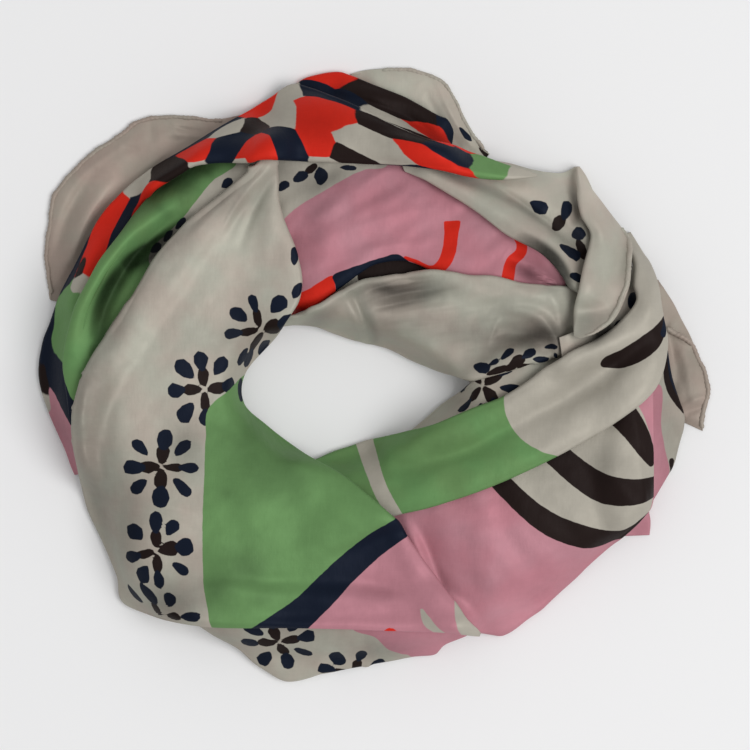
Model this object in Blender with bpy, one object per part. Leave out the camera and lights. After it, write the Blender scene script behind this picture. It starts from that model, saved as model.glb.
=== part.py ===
"""Silk square scarf, wound into a loose ring and laid flat on a table.

The hidden folds are one rounded ring, flat underneath and layered at its sides.
Each stretch of cloth that shows is a thin wall. It is lofted through a short table
of sections and laid over everything put down before it, in the order of winding.
Sizes are in millimetres and are turned into metres when a mesh is made.
"""
from collections import namedtuple

import bpy
import numpy as np

# Driving sizes
CLOTH_WALL = 1.4        # thickness of each modelled stretch
CLEARANCE = 0.7         # air left between one stretch and whatever it lies on
DRAPE_REACH = 6         # how far a stretch spans out from an edge below it
EDGE_ROLL = 9.0         # width of the rounded fold along a stretch's two edges
HEM_RADIUS = 1.4        # hand-rolled hem
HEM_STANDOFF = 0.5      # air between a hem and the edge it finishes
RING_CENTRE = (-4.0, -8.0)
RING_SHOULDER = 27.0    # width over which the hidden ring rounds down at its sides
RING_LAYERS = 8         # steps between the table and the crest on each side
LAYER_GROOVE = 1.3      # depth of the grooves between the hidden layers
RING_CROWN = 1.5        # rise of the ring's top above its shoulders
MAP_HALF = 200          # half width of the height map, in cells of 1 mm

# Colours, as sRGB
BEIGE = (0.68, 0.66, 0.61)
PINK = (0.70, 0.48, 0.52)
GREEN = (0.39, 0.54, 0.34)
RED = (0.72, 0.16, 0.10)
NAVY = (0.09, 0.12, 0.19)

Ring = namedtuple("Ring", "bearing inner outer crest")
Section = namedtuple("Section", "left_x left_y right_x right_y lift puff")


class Heap:
    """Height of everything laid so far, in cells of 1 mm; bare table is zero."""

    def __init__(self):
        size = 2 * MAP_HALF + 1
        self.height = np.full((size, size), -CLEARANCE)

    def add(self, points):
        col = np.clip(np.rint(points[:, 0]).astype(int) + MAP_HALF, 0, 2 * MAP_HALF)
        row = np.clip(np.rint(points[:, 1]).astype(int) + MAP_HALF, 0, 2 * MAP_HALF)
        np.maximum.at(self.height, (row, col), points[:, 2])

    def spread(self, reach):
        """The height map with each point's height carried `reach` cells around."""
        field = self.height
        for axis in (0, 1):
            shifted = [np.roll(field, step, axis) for step in range(-reach, reach + 1)]
            field = np.maximum.reduce(shifted)
        return field

    def draped(self):
        """Soft cover over the heap, nowhere below it."""
        field = self.spread(DRAPE_REACH)
        step = DRAPE_REACH // 3
        for axis in (0, 1, 0, 1, 0, 1):
            shifted = [np.roll(field, move, axis) for move in range(-step, step + 1)]
            field = np.mean(shifted, axis=0)
        return field


def sample(field, x, y):
    """Read a height map between its cells."""
    gx = np.clip(x + MAP_HALF, 0, 2 * MAP_HALF - 1.001)
    gy = np.clip(y + MAP_HALF, 0, 2 * MAP_HALF - 1.001)
    col = gx.astype(int)
    row = gy.astype(int)
    fx = gx - col
    fy = gy - row
    near = field[row, col] * (1 - fx) + field[row, col + 1] * fx
    far = field[row + 1, col] * (1 - fx) + field[row + 1, col + 1] * fx
    return near * (1 - fy) + far * fy


def catmull_rom(points, where):
    """Curve through the rows of `points`, read at row numbers `where`."""
    last = len(points) - 1
    start = np.clip(where.astype(int), 0, last - 1)
    t = (where - start)[:, None]
    before = points[np.maximum(start - 1, 0)]
    first = points[start]
    second = points[start + 1]
    after = points[np.minimum(start + 2, last)]
    bend = t * (2 * before - 5 * first + 4 * second - after)
    cubic = t * t * (3 * first - before - 3 * second + after)
    return first + 0.5 * t * (second - before + bend + cubic)


def material(name, colour, roughness=0.48):
    linear = [((c + 0.055) / 1.055) ** 2.4 for c in colour]
    made = bpy.data.materials.new(name)
    made.use_nodes = True
    shader = made.node_tree.nodes["Principled BSDF"]
    shader.inputs["Base Color"].default_value = (*linear, 1.0)
    shader.inputs["Roughness"].default_value = roughness
    shader.inputs["Metallic"].default_value = 0.0
    return made


def add_object(name, points, faces, colour):
    mesh = bpy.data.meshes.new(name)
    mesh.from_pydata((points * 0.001).tolist(), [], faces.tolist())
    mesh.materials.append(material(name, colour))
    made = bpy.data.objects.new(name, mesh)
    bpy.context.scene.collection.objects.link(made)
    return made


def quads_to_triangles(quads):
    return np.concatenate([quads[:, [0, 1, 2]], quads[:, [0, 2, 3]]])


def grid_quads(rows, columns):
    """Faces of a grid of points, wound so that they face up."""
    index = np.arange(rows * columns).reshape(rows, columns)
    corners = (index[:-1, :-1], index[1:, :-1], index[1:, 1:], index[:-1, 1:])
    return np.stack([corner.ravel() for corner in corners], axis=1)


def points_on(triangles, fine=18):
    """Evenly spread points on each triangle, and their weights at its corners."""
    steps = [(i, j) for i in range(fine + 1) for j in range(fine + 1 - i)]
    ij = np.array(steps, float) / fine
    weights = np.column_stack([ij[:, 0], ij[:, 1], 1 - ij.sum(axis=1)])
    return np.einsum("kc,tcd->tkd", weights, triangles), weights


def grid_normals(grid):
    along = np.gradient(grid, axis=0)
    across = np.gradient(grid, axis=1)
    normal = np.cross(along, across)
    return normal / np.linalg.norm(normal, axis=2, keepdims=True)


def lay_stretch(heap, name, colour, table, rows, columns):
    """Loft a wall through the table's sections and lay it on the heap."""
    values = np.array(table, float)
    middle = (values[:, 0:2] + values[:, 2:4]) / 2
    run = np.concatenate([[0], np.cumsum(np.linalg.norm(np.diff(middle, axis=0), axis=1))])
    where = np.interp(np.linspace(0, run[-1], rows), run, np.arange(len(table)))
    section = catmull_rom(values, where)
    v = 0.5 - 0.5 * np.cos(np.linspace(0, np.pi, columns))
    left = section[:, None, 0:2]
    right = section[:, None, 2:4]
    plan = left + (right - left) * v[None, :, None]
    width = np.linalg.norm(section[:, 2:4] - section[:, 0:2], axis=1)[:, None]
    edge = np.minimum(v, 1 - v)[None, :] * width
    roll = np.minimum(EDGE_ROLL, 0.5 * width)
    shoulder = np.sqrt(1 - (1 - np.minimum(edge / roll, 1)) ** 2)
    rise = section[:, 4:5] * shoulder + section[:, 5:6] * 4 * v * (1 - v)
    height = sample(heap.draped(), plan[..., 0], plan[..., 1]) + CLEARANCE + rise
    under = np.dstack([plan, height])
    if grid_normals(under)[..., 2].mean() < 0:
        under = under[:, ::-1]
    quads = grid_quads(rows, columns)
    triangles = quads_to_triangles(quads)
    floor = heap.spread(2)
    flat = under.reshape(-1, 3)
    for _ in range(6):
        points, weights = points_on(flat[triangles])
        needed = sample(floor, points[..., 0], points[..., 1]) + CLEARANCE - points[..., 2]
        short = np.maximum(needed, 0).max(axis=1)
        push = np.zeros(len(flat))
        for corner in range(3):
            np.maximum.at(push, triangles[:, corner], short)
        flat[:, 2] += push * 0.7
    flat[:, 2] = np.maximum(flat[:, 2], 0)
    under = flat.reshape(rows, columns, 3)
    over = under + grid_normals(under) * CLOTH_WALL
    count = rows * columns
    index = np.arange(count).reshape(rows, columns)
    loop = np.concatenate([index[:-1, 0], index[-1, :-1], index[:0:-1, -1], index[0, :0:-1]])
    after = np.roll(loop, -1)
    rim = np.column_stack([loop, after, after + count, loop + count])
    faces = np.concatenate([
        triangles[:, ::-1],
        triangles + count,
        quads_to_triangles(rim),
    ])
    every = np.concatenate([under.reshape(-1, 3), over.reshape(-1, 3)])
    add_object(name, every, faces, colour)
    heap.add(points_on(over.reshape(-1, 3)[triangles], 26)[0].reshape(-1, 3))
    heap.add(points_on(every[quads_to_triangles(rim)], 18)[0].reshape(-1, 3))
    return under, over


def lay_hem(heap, before, name, colour, edge_under, edge_over):
    """Rolled hem beside a stretch's edge, made from that edge's points moved out."""
    path = (edge_under + edge_over) / 2
    along = np.gradient(path, axis=0)
    out = np.column_stack([-along[:, 1], along[:, 0]])
    out /= np.linalg.norm(out, axis=1, keepdims=True)
    overhang = np.abs(np.sum((edge_over - edge_under)[:, :2] * out, axis=1)) / 2
    path[:, :2] += out * (overhang + HEM_RADIUS + HEM_STANDOFF)[:, None]
    ground = sample(before.spread(2), path[:, 0], path[:, 1]) + CLEARANCE + HEM_RADIUS
    path[:, 2] = np.maximum(path[:, 2], ground)
    path[:, 2] = np.maximum(path[:, 2], HEM_RADIUS)
    count = len(path)
    sides = 6
    turn = np.linspace(0, 2 * np.pi, sides, endpoint=False)
    along = np.gradient(path, axis=0)
    along /= np.linalg.norm(along, axis=1, keepdims=True)
    side = np.cross(along, [0, 0, 1])
    side /= np.linalg.norm(side, axis=1, keepdims=True)
    up = np.cross(side, along)
    ring = np.cos(turn)[None, :, None] * side[:, None] + np.sin(turn)[None, :, None] * up[:, None]
    tube = path[:, None] + ring * HEM_RADIUS
    index = np.arange(count * sides).reshape(count, sides)
    ahead = np.roll(index, -1, axis=1)
    quads = np.stack([index[:-1], ahead[:-1], ahead[1:], index[1:]], axis=-1).reshape(-1, 4)
    ends = [count * sides, count * sides + 1]
    cap_a = np.column_stack([ahead[0], index[0], np.full(sides, ends[0])])
    cap_b = np.column_stack([index[-1], ahead[-1], np.full(sides, ends[1])])
    faces = np.concatenate([quads_to_triangles(quads), cap_a, cap_b])
    points = np.concatenate([tube.reshape(-1, 3), path[[0, -1]]])
    add_object(name, points, faces[:, ::-1], colour)
    heap.add(points_on(points[faces], 8)[0].reshape(-1, 3))


def hidden_ring(heap):
    """The folds that never show: a rounded ring with a flat foot."""
    table = np.array([
        Ring(0.0, 56, 143, 23),
        Ring(22.5, 43, 141, 24),
        Ring(45.0, 37, 138, 24),
        Ring(67.5, 35, 119, 22),
        Ring(90.0, 35, 138, 23),
        Ring(112.5, 41, 138, 24),
        Ring(135.0, 60, 140, 25),
        Ring(157.5, 65, 145, 24),
        Ring(180.0, 69, 147, 23),
        Ring(202.5, 60, 136, 23),
        Ring(225.0, 54, 142, 22),
        Ring(247.5, 48, 131, 20),
        Ring(270.0, 41, 123, 19),
        Ring(292.5, 39, 123, 20),
        Ring(315.0, 41, 127, 22),
        Ring(337.5, 45, 143, 23),
    ], float)
    bearings = 52
    rows = len(table)
    wrapped = np.concatenate([table[-2:], table, table[:3]])
    wrapped[:2, 0] -= 360
    wrapped[-3:, 0] += 360
    where = 2 + np.arange(bearings) * rows / bearings
    ring = catmull_rom(wrapped, where)
    angle = np.radians(ring[:, 0])
    step = np.arange(RING_LAYERS + 1)
    share = step / RING_LAYERS
    inset = RING_SHOULDER * (1 - np.sqrt(1 - share ** 2)) + LAYER_GROOVE * (step % 2)
    inner = ring[:, 1:2] + inset
    outer = ring[:, 2:3] - inset
    middle = (ring[:, 1:2] + ring[:, 2:3]) / 2
    radius = np.hstack([outer, middle, inner[:, ::-1]])
    side = ring[:, 3:4] * share
    height = np.hstack([side, ring[:, 3:4] + RING_CROWN, side[:, ::-1]])
    x = RING_CENTRE[0] + radius * np.cos(angle)[:, None]
    y = RING_CENTRE[1] + radius * np.sin(angle)[:, None]
    points = np.dstack([x, y, height])
    across = points.shape[1]
    index = np.arange(bearings * across).reshape(bearings, across)
    ahead = np.roll(index, -1, axis=0)
    nxt = np.roll(index, -1, axis=1)
    quads = np.stack([index, ahead, np.roll(ahead, -1, axis=1), nxt], axis=-1).reshape(-1, 4)
    faces = quads_to_triangles(quads)
    flat = points.reshape(-1, 3)
    add_object("hidden_folds", flat, faces, BEIGE)
    heap.add(points_on(flat[faces], 24)[0].reshape(-1, 3))


for old in list(bpy.data.objects):
    bpy.data.objects.remove(old, do_unlink=True)

heap = Heap()
hidden_ring(heap)

# Corners and lower folds that lie on the table around the ring
before = Heap()
before.height = heap.height.copy()
under, over = lay_stretch(heap, "upper_left_corner", BEIGE, [
    Section(-161, 38, -143, 33, 1, 1),
    Section(-164, 62, -136, 53, 1, 2),
    Section(-160, 86, -130, 71, 2, 3),
    Section(-150, 104, -121, 85, 2, 3),
    Section(-133, 118, -111, 95, 2, 3),
    Section(-117, 128, -100, 103, 1, 3),
    Section(-103, 130, -89, 108, 1, 2),
    Section(-82, 129, -74, 113, 1, 1),
    Section(-66, 130, -61, 118, 1, 1),
], 18, 6)
lay_hem(heap, before, "upper_left_hem", BEIGE, under[3:-2, -1], over[3:-2, -1])

before.height = heap.height.copy()
under, over = lay_stretch(heap, "top_corner", BEIGE, [
    Section(-11, 151, -11, 138, 1, 0),
    Section(8, 154, 6, 136, 1, 1),
    Section(21, 153, 15, 132, 1, 2),
    Section(33, 149, 23, 127, 1, 3),
    Section(41, 139, 30, 120, 1, 2),
    Section(48, 126, 37, 114, 1, 1),
    Section(58, 111, 49, 103, 1, 1),
], 14, 6)
lay_hem(heap, before, "top_hem", BEIGE, under[4:-2, -1], over[4:-2, -1])

before.height = heap.height.copy()
under, over = lay_stretch(heap, "right_corner", BEIGE, [
    Section(138, 48, 144, 46, 1, 0),
    Section(136, 35, 150, 37, 1, 1),
    Section(139, 23, 159, 19, 1, 2),
    Section(143, 10, 164, 5, 1, 2),
    Section(146, -2, 167, -7, 1, 2),
    Section(148, -12, 165, -18, 1, 1),
    Section(152, -22, 163, -27, 1, 1),
], 14, 6)
lay_hem(heap, before, "right_hem", BEIGE, under[4:, -1], over[4:, -1])

lay_stretch(heap, "bottom_fold", BEIGE, [
    Section(-91, -105, -96, -123, 1, 0),
    Section(-79, -106, -79, -132, 1, 2),
    Section(-64, -107, -61, -143, 2, 3),
    Section(-46, -108, -46, -153, 2, 4),
    Section(-25, -109, -25, -150, 2, 4),
    Section(-4, -110, -1, -146, 2, 4),
    Section(14, -112, 21, -141, 2, 3),
    Section(26, -113, 32, -140, 2, 2),
    Section(39, -116, 47, -130, 1, 1),
], 15, 6)

# Stretches deep in the ring, along the hole and the right side
lay_stretch(heap, "hole_border", BEIGE, [
    Section(10, -30, 16, -40, 1, 0),
    Section(23, -22, 32, -34, 2, 1),
    Section(32, -14, 46, -26, 2, 1),
    Section(39, -9, 61, -19, 2, 2),
    Section(48, -3, 76, -11, 2, 2),
    Section(64, 7, 88, -4, 2, 1),
    Section(81, 15, 101, 6, 1, 0),
], 12, 6)

lay_stretch(heap, "right_roll", BEIGE, [
    Section(146, 28, 132, 28, 2, 0),
    Section(149, 15, 131, 13, 3, 1),
    Section(152, -4, 129, -4, 4, 1),
    Section(156, -21, 126, -20, 4, 2),
    Section(154, -35, 122, -33, 4, 2),
    Section(148, -52, 119, -47, 4, 2),
    Section(142, -65, 117, -59, 3, 1),
    Section(139, -79, 126, -78, 2, 0),
], 14, 6)

lay_stretch(heap, "pink_sweep", PINK, [
    Section(-59, 100, -55, 23, 1, 0),
    Section(-36, 109, -41, 27, 2, 1),
    Section(-16, 109, -27, 35, 2, 2),
    Section(4, 108, -14, 44, 2, 3),
    Section(21, 104, 1, 54, 2, 3),
    Section(39, 94, 16, 57, 2, 3),
    Section(55, 84, 34, 49, 2, 3),
    Section(71, 73, 59, 44, 2, 3),
    Section(88, 63, 79, 42, 2, 2),
    Section(97, 53, 95, 41, 1, 0),
], 14, 8)

lay_stretch(heap, "inner_border", BEIGE, [
    Section(-40, 31, -41, 26, 1, 0),
    Section(-30, 33, -28, 22, 2, 0),
    Section(-18, 40, -14, 17, 2, 1),
    Section(-7, 47, 1, 13, 2, 2),
    Section(9, 49, 16, 7, 2, 3),
    Section(26, 51, 29, 1, 2, 3),
    Section(41, 51, 47, -3, 2, 3),
    Section(59, 49, 65, 0, 2, 3),
    Section(76, 46, 79, 3, 3, 3),
    Section(94, 45, 92, 9, 2, 2),
    Section(106, 43, 101, 12, 1, 0),
], 16, 8)

# The border that comes down from the top, and the striped panel below it
lay_stretch(heap, "top_border", BEIGE, [
    Section(14, 106, 16, 101, 1, 0),
    Section(34, 106, 32, 92, 2, 1),
    Section(51, 105, 47, 83, 3, 1),
    Section(66, 104, 64, 72, 4, 1),
    Section(81, 102, 79, 64, 4, 1),
    Section(94, 103, 90, 57, 4, 1),
    Section(106, 92, 99, 47, 3, 1),
    Section(115, 80, 109, 42, 2, 0),
], 14, 8)

lay_stretch(heap, "striped_panel", PINK, [
    Section(2, -57, 34, -121, 1, 0),
    Section(11, -54, 49, -128, 2, 2),
    Section(26, -51, 60, -130, 2, 4),
    Section(45, -46, 68, -129, 2, 5),
    Section(64, -37, 82, -119, 2, 5),
    Section(79, -30, 99, -105, 2, 4),
    Section(93, -23, 114, -92, 2, 3),
    Section(113, -12, 129, -79, 2, 3),
    Section(129, 0, 137, -69, 2, 2),
    Section(139, 7, 139, -61, 1, 0),
], 16, 8)

lay_stretch(heap, "under_border", BEIGE, [
    Section(126, 57, 139, 45, 1, 0),
    Section(121, 42, 136, 32, 2, 0),
    Section(113, 30, 126, 19, 2, 0),
    Section(102, 23, 111, 12, 2, 0),
    Section(92, 19, 94, 6, 1, 0),
], 10, 5)

# The green strap that crosses the ring on the right, and the wrap over its end
lay_stretch(heap, "green_strap", GREEN, [
    Section(127, 68, 130, 69, 1, 0),
    Section(130, 57, 141, 55, 2, 0),
    Section(130, 45, 145, 43, 3, 1),
    Section(131, 35, 147, 25, 3, 1),
    Section(124, 26, 149, 14, 3, 2),
    Section(111, 19, 143, -3, 4, 3),
    Section(97, 12, 129, -18, 4, 3),
    Section(84, 2, 111, -30, 4, 3),
    Section(66, -8, 94, -39, 4, 3),
    Section(49, -15, 74, -49, 4, 3),
    Section(31, -22, 51, -58, 4, 3),
    Section(14, -28, 29, -65, 4, 3),
    Section(-4, -35, 6, -72, 3, 2),
    Section(-21, -42, -11, -78, 3, 1),
    Section(-40, -52, -30, -84, 1, 0),
], 20, 7)

before.height = heap.height.copy()
under, over = lay_stretch(heap, "knot_wrap", BEIGE, [
    Section(102, 104, 104, 104, 1, 0),
    Section(102, 95, 109, 95, 2, 0),
    Section(102, 85, 116, 86, 3, 0),
    Section(104, 77, 125, 75, 3, 1),
    Section(108, 70, 129, 66, 3, 1),
    Section(106, 62, 128, 55, 3, 1),
    Section(103, 49, 123, 41, 3, 1),
    Section(100, 37, 117, 28, 3, 0),
    Section(99, 26, 109, 23, 2, 0),
    Section(99, 20, 101, 19, 1, 0),
], 16, 6)
lay_hem(heap, before, "wrap_hem", BEIGE, under[5:14, -1], over[5:14, -1])

# The mosaic band over the top and left, the ridge beside it and the front panel
lay_stretch(heap, "mosaic_crown", RED, [
    Section(-65, 131, -59, 120, 1, 0),
    Section(-51, 140, -44, 122, 2, 0),
    Section(-36, 149, -30, 122, 2, 1),
    Section(-19, 152, -16, 120, 3, 1),
    Section(-3, 148, -1, 117, 3, 1),
    Section(14, 141, 14, 112, 3, 1),
    Section(32, 131, 28, 108, 3, 1),
    Section(40, 124, 36, 106, 2, 0),
    Section(41, 116, 40, 105, 1, 0),
], 14, 7)

lay_stretch(heap, "mosaic_band", RED, [
    Section(81, 101, 81, 99, 1, 0),
    Section(68, 105, 66, 97, 2, 0),
    Section(50, 112, 48, 99, 3, 0),
    Section(27, 119, 29, 100, 3, 1),
    Section(8, 127, 6, 103, 4, 1),
    Section(-16, 136, -16, 105, 4, 2),
    Section(-38, 141, -41, 106, 4, 2),
    Section(-71, 128, -79, 103, 4, 2),
    Section(-109, 106, -104, 80, 4, 2),
    Section(-138, 77, -124, 54, 4, 2),
    Section(-159, 38, -137, 25, 4, 2),
    Section(-167, -3, -141, -7, 3, 2),
    Section(-156, -35, -137, -34, 2, 1),
    Section(-149, -49, -132, -46, 1, 0),
], 20, 7)

lay_stretch(heap, "green_ridge", GREEN, [
    Section(-79, 103, -57, 101, 1, 0),
    Section(-94, 100, -65, 92, 2, 1),
    Section(-107, 93, -74, 80, 3, 2),
    Section(-118, 80, -86, 65, 3, 2),
    Section(-131, 64, -97, 49, 3, 2),
    Section(-141, 48, -109, 32, 3, 2),
    Section(-150, 30, -121, 15, 3, 2),
    Section(-154, 13, -131, 2, 3, 1),
    Section(-154, -3, -137, -12, 2, 1),
    Section(-150, -21, -140, -27, 1, 0),
], 15, 7)

lay_stretch(heap, "front_panel", BEIGE, [
    Section(-58, 102, -45, 102, 1, 0),
    Section(-79, 91, -46, 91, 3, 1),
    Section(-93, 77, -42, 77, 4, 2),
    Section(-107, 60, -36, 59, 4, 3),
    Section(-121, 38, -35, 41, 4, 4),
    Section(-134, 18, -45, 21, 4, 5),
    Section(-145, -1, -61, 2, 4, 5),
    Section(-150, -22, -62, -13, 4, 5),
    Section(-149, -42, -51, -24, 4, 5),
    Section(-145, -62, -36, -36, 4, 5),
    Section(-137, -82, -15, -48, 4, 5),
    Section(-130, -100, 1, -60, 3, 5),
    Section(-123, -116, 12, -70, 3, 5),
    Section(-86, -124, 19, -81, 3, 5),
    Section(-36, -125, 30, -96, 3, 4),
    Section(14, -127, 41, -110, 2, 2),
    Section(53, -129, 54, -127, 1, 0),
], 22, 9)
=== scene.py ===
"""Printed silk square, wound into a loose ring and laid on a table.

Each stretch of cloth that shows is one thin sheet. It runs through a short table of
sections, lies over everything put down before it, and turns under along its edges.
Plan sizes are in millimetres from the origin, under the middle of the scarf; meshes
are in metres.
"""
from collections import namedtuple

import bpy
import numpy as np
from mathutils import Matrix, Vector


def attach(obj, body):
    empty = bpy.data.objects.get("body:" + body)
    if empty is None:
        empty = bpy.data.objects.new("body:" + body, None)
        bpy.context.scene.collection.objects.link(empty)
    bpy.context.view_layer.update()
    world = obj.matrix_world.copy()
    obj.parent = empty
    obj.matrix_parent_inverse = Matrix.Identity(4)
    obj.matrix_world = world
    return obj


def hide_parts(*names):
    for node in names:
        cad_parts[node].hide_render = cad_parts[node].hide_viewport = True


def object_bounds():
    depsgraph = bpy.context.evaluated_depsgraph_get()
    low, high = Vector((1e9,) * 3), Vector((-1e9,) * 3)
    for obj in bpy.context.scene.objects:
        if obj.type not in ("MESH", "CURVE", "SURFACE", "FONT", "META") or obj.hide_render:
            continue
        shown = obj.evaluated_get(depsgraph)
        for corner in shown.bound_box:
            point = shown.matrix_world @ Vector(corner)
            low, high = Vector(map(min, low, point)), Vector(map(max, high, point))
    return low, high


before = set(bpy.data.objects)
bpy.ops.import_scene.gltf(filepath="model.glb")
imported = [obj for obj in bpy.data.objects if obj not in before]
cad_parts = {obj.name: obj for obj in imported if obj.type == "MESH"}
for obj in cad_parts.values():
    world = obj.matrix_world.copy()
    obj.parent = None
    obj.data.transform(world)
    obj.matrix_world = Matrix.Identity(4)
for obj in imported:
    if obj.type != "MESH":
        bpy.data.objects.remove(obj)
cad_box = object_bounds()

# ---------------------------------------------------------------------------
# Camera: looks straight down at the scarf on its table. It stands far enough off that
# the ring's sides look upright.
CAMERA_HEIGHT = 2.6
CAMERA_FIELD = 0.375    # width of the table that the view takes in
CAMERA_AIM = (0.00125, 0.0005)
SENSOR_MM = 36.0

camera_data = bpy.data.cameras.new("camera")
camera_data.sensor_width = SENSOR_MM
camera_data.lens = SENSOR_MM * CAMERA_HEIGHT / CAMERA_FIELD
camera = bpy.data.objects.new("camera", camera_data)
camera.location = (*CAMERA_AIM, CAMERA_HEIGHT)
bpy.context.scene.collection.objects.link(camera)
bpy.context.scene.camera = camera

# ---------------------------------------------------------------------------
# Hidden folds: the many loose layers of silk inside the ring. Nothing is seen of
# them but their edges, low down round the hole and along the outside. They are woven
# and finished as the rest is, so the silk itself is made here.
AIR = 0.5               # between one layer and the next
SILK = 0.35             # thickness given to one layer
MAP_HALF = 200          # half width of the height map, in cells of 1 mm

RING_CENTRE = (-4.0, -8.0)
OUTER_SHOULDER = 27.0   # how far in from its edge the ring reaches full height
INNER_SHOULDER = 14.0
LAYERS = 5              # layers that show at its sides
LAYER_GROOVE = 2.2      # depth of the groove between two of them
LAYER_SHIFT = 17        # bearings by which the inner side's wander lags the outer's
RING_CROWN = 1.5
CROWN_STEPS = 7
BROWN_PRINT_AND_SHADE = (12, 54)  # middle of the brown patch low in the gap under the pink sweep: print, and painted shade of the gap
BROWN_REACH = 16        # its reach from there to front and back
BROWN_STRETCH = 1.3     # and how many times further it reaches to the sides

BEIGE = (0.41, 0.382, 0.325)
BROWN = (0.015, 0.0085, 0.0075)
WARM_CAST = (1.04, 0.985, 0.99)
COOL_CAST = (0.96, 1.01, 1.0)
INK_BLEED = 0.3         # how softly one ink meets the next, in mm
INK_WOBBLE = 0.5        # how far an outline wanders, in mm
WOBBLE_MM = 4.0         # and over what length
CLOUD_MM = 24.0         # size of the spots where the ground drifts in tone
THREAD_MM = (0.7, 9.0)  # width and length of the slubs that show in the weave
PUCKER_MM = (5.0, 8.0)  # and of the puckers, too fine for the mesh, which lie turned
PUCKER_TURN = 0.6
SLUB_TONE = 0.05        # how much lighter or darker slubs, clouds and wobble make it
CLOUD_TONE = 0.16
WOBBLE_TONE = 0.08
SLUB_RELIEF = 0.3       # height of a slub, and of a pucker, in units of BUMP_HEIGHT
PUCKER_RELIEF = 2.5
BUMP_HEIGHT = 0.00018   # in metres
BUMP_STRENGTH = 0.5
SILK_ROUGHNESS = 0.52
SLUB_ROUGHNESS = 0.10
SILK_SHEEN = 0.02
SHEEN_ROUGHNESS = 0.4
SILK_SPECULAR = 0.08
SILK_LUSTRE = 0.16      # share of the light sent back in the colour of the ink

Ring = namedtuple("Ring", "bearing inner outer crest")
Ink = namedtuple("Ink", "name colour depth")


class Heap:
    """Height of everything laid so far, in cells of 1 mm; the bare table is zero."""

    def __init__(self, height=None):
        size = 2 * MAP_HALF + 1
        self.height = np.full((size, size), -AIR) if height is None else height.copy()

    def copy(self):
        return Heap(self.height)

    def add(self, grid, where=None):
        """Raise the map to a surface, or to the part of it that `where` picks by y."""
        points = finer(finer(grid, 3).swapaxes(0, 1), 3).reshape(-1, 3)
        if where is not None:
            points = points[where(points[:, 1])]
        col = np.clip(np.rint(points[:, 0]).astype(int) + MAP_HALF, 0, 2 * MAP_HALF)
        row = np.clip(np.rint(points[:, 1]).astype(int) + MAP_HALF, 0, 2 * MAP_HALF)
        np.maximum.at(self.height, (row, col), points[:, 2])

    def spread(self, reach):
        """Each cell's height carried `reach` cells around, in a rounded square."""
        field = self.height
        for step in range(reach):
            rows = np.maximum(np.roll(field, 1, 0), np.roll(field, -1, 0))
            cols = np.maximum(np.roll(field, 1, 1), np.roll(field, -1, 1))
            if step % 2:
                across = np.maximum(field, rows)
                rows = np.maximum(np.roll(across, 1, 1), np.roll(across, -1, 1))
            field = np.maximum(field, np.maximum(rows, cols))
        return field

    def cover(self, reach):
        """Soft cover stretched over the heap, hardly anywhere below it."""
        field = self.spread(reach)
        for _ in range(reach * 2):
            field = (np.roll(field, 1, 0) + 2 * field + np.roll(field, -1, 0)) / 4
            field = (np.roll(field, 1, 1) + 2 * field + np.roll(field, -1, 1)) / 4
        return field


def finer(grid, times):
    """Points put evenly between each row of a grid and the next."""
    share = (np.arange(times) / times)[None, :, None, None]
    between = grid[:-1, None] * (1 - share) + grid[1:, None] * share
    return np.concatenate([between.reshape(-1, *grid.shape[1:]), grid[-1:]])


def catmull_rom(points, where):
    """Smooth curve through the rows of `points`, read at row numbers `where`."""
    last = len(points) - 1
    start = np.clip(where.astype(int), 0, last - 1)
    t = (where - start)[:, None]
    before = points[np.maximum(start - 1, 0)]
    first = points[start]
    second = points[start + 1]
    after = points[np.minimum(start + 2, last)]
    bend = t * (2 * before - 5 * first + 4 * second - after)
    cubic = t * t * (3 * first - before - 3 * second + after)
    return first + 0.5 * t * (second - before + bend + cubic)


def mesh_from_grid(name, grid, uv, closed=False, ends=True):
    """A grid of points as quads that face up or outwards, with its own cloth map.
    A closed grid joins its last column to its first, and its last row too if `ends`."""
    rows, columns = grid.shape[:2]
    index = np.arange(rows * columns).reshape(rows, columns)
    if closed:
        index = np.concatenate([index, index[:, :1]], axis=1)
        if ends:
            index = np.concatenate([index, index[:1]])
    corners = (index[:-1, :-1], index[1:, :-1], index[1:, 1:], index[:-1, 1:])
    quads = np.stack([corner.ravel() for corner in corners], axis=1)
    mesh = bpy.data.meshes.new(name)
    mesh.from_pydata((grid.reshape(-1, 3) * 0.001).tolist(), [], quads.tolist())
    mesh.polygons.foreach_set("use_smooth", np.ones(len(quads), bool))
    layer = mesh.uv_layers.new(name="cloth")
    layer.data.foreach_set("uv", (uv.reshape(-1, 2) * 0.001)[quads.ravel()].ravel())
    mesh.update()
    piece = bpy.data.objects.new(name, mesh)
    bpy.context.scene.collection.objects.link(piece)
    return piece


def write_values(piece, name, values):
    """Store one number for each point of a mesh, for its material to read."""
    layer = piece.data.attributes.new(name, "FLOAT", "POINT")
    layer.data.foreach_set("value", values.ravel().astype(np.float32))


class Value:
    """A number in a shader; arithmetic on it adds the Math nodes it needs."""

    def __init__(self, surface, socket):
        self.surface = surface
        self.socket = socket

    def math(self, operation, first, second, clamp=False):
        """The result of one Math node, kept between 0 and 1 if `clamp`."""
        settings = {"operation": operation, "use_clamp": clamp}
        made = self.surface.node("Math", settings, {0: first, 1: second})
        return Value(self.surface, made.outputs[0])

    def __add__(self, other):
        return self.math("ADD", self, other)

    def __sub__(self, other):
        return self.math("SUBTRACT", self, other)

    def __rsub__(self, other):
        return self.math("SUBTRACT", other, self)

    def __mul__(self, other):
        return self.math("MULTIPLY", self, other)

    __radd__ = __add__
    __rmul__ = __mul__

    def clamped(self):
        return self.math("ADD", self, 0.0, clamp=True)


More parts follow.
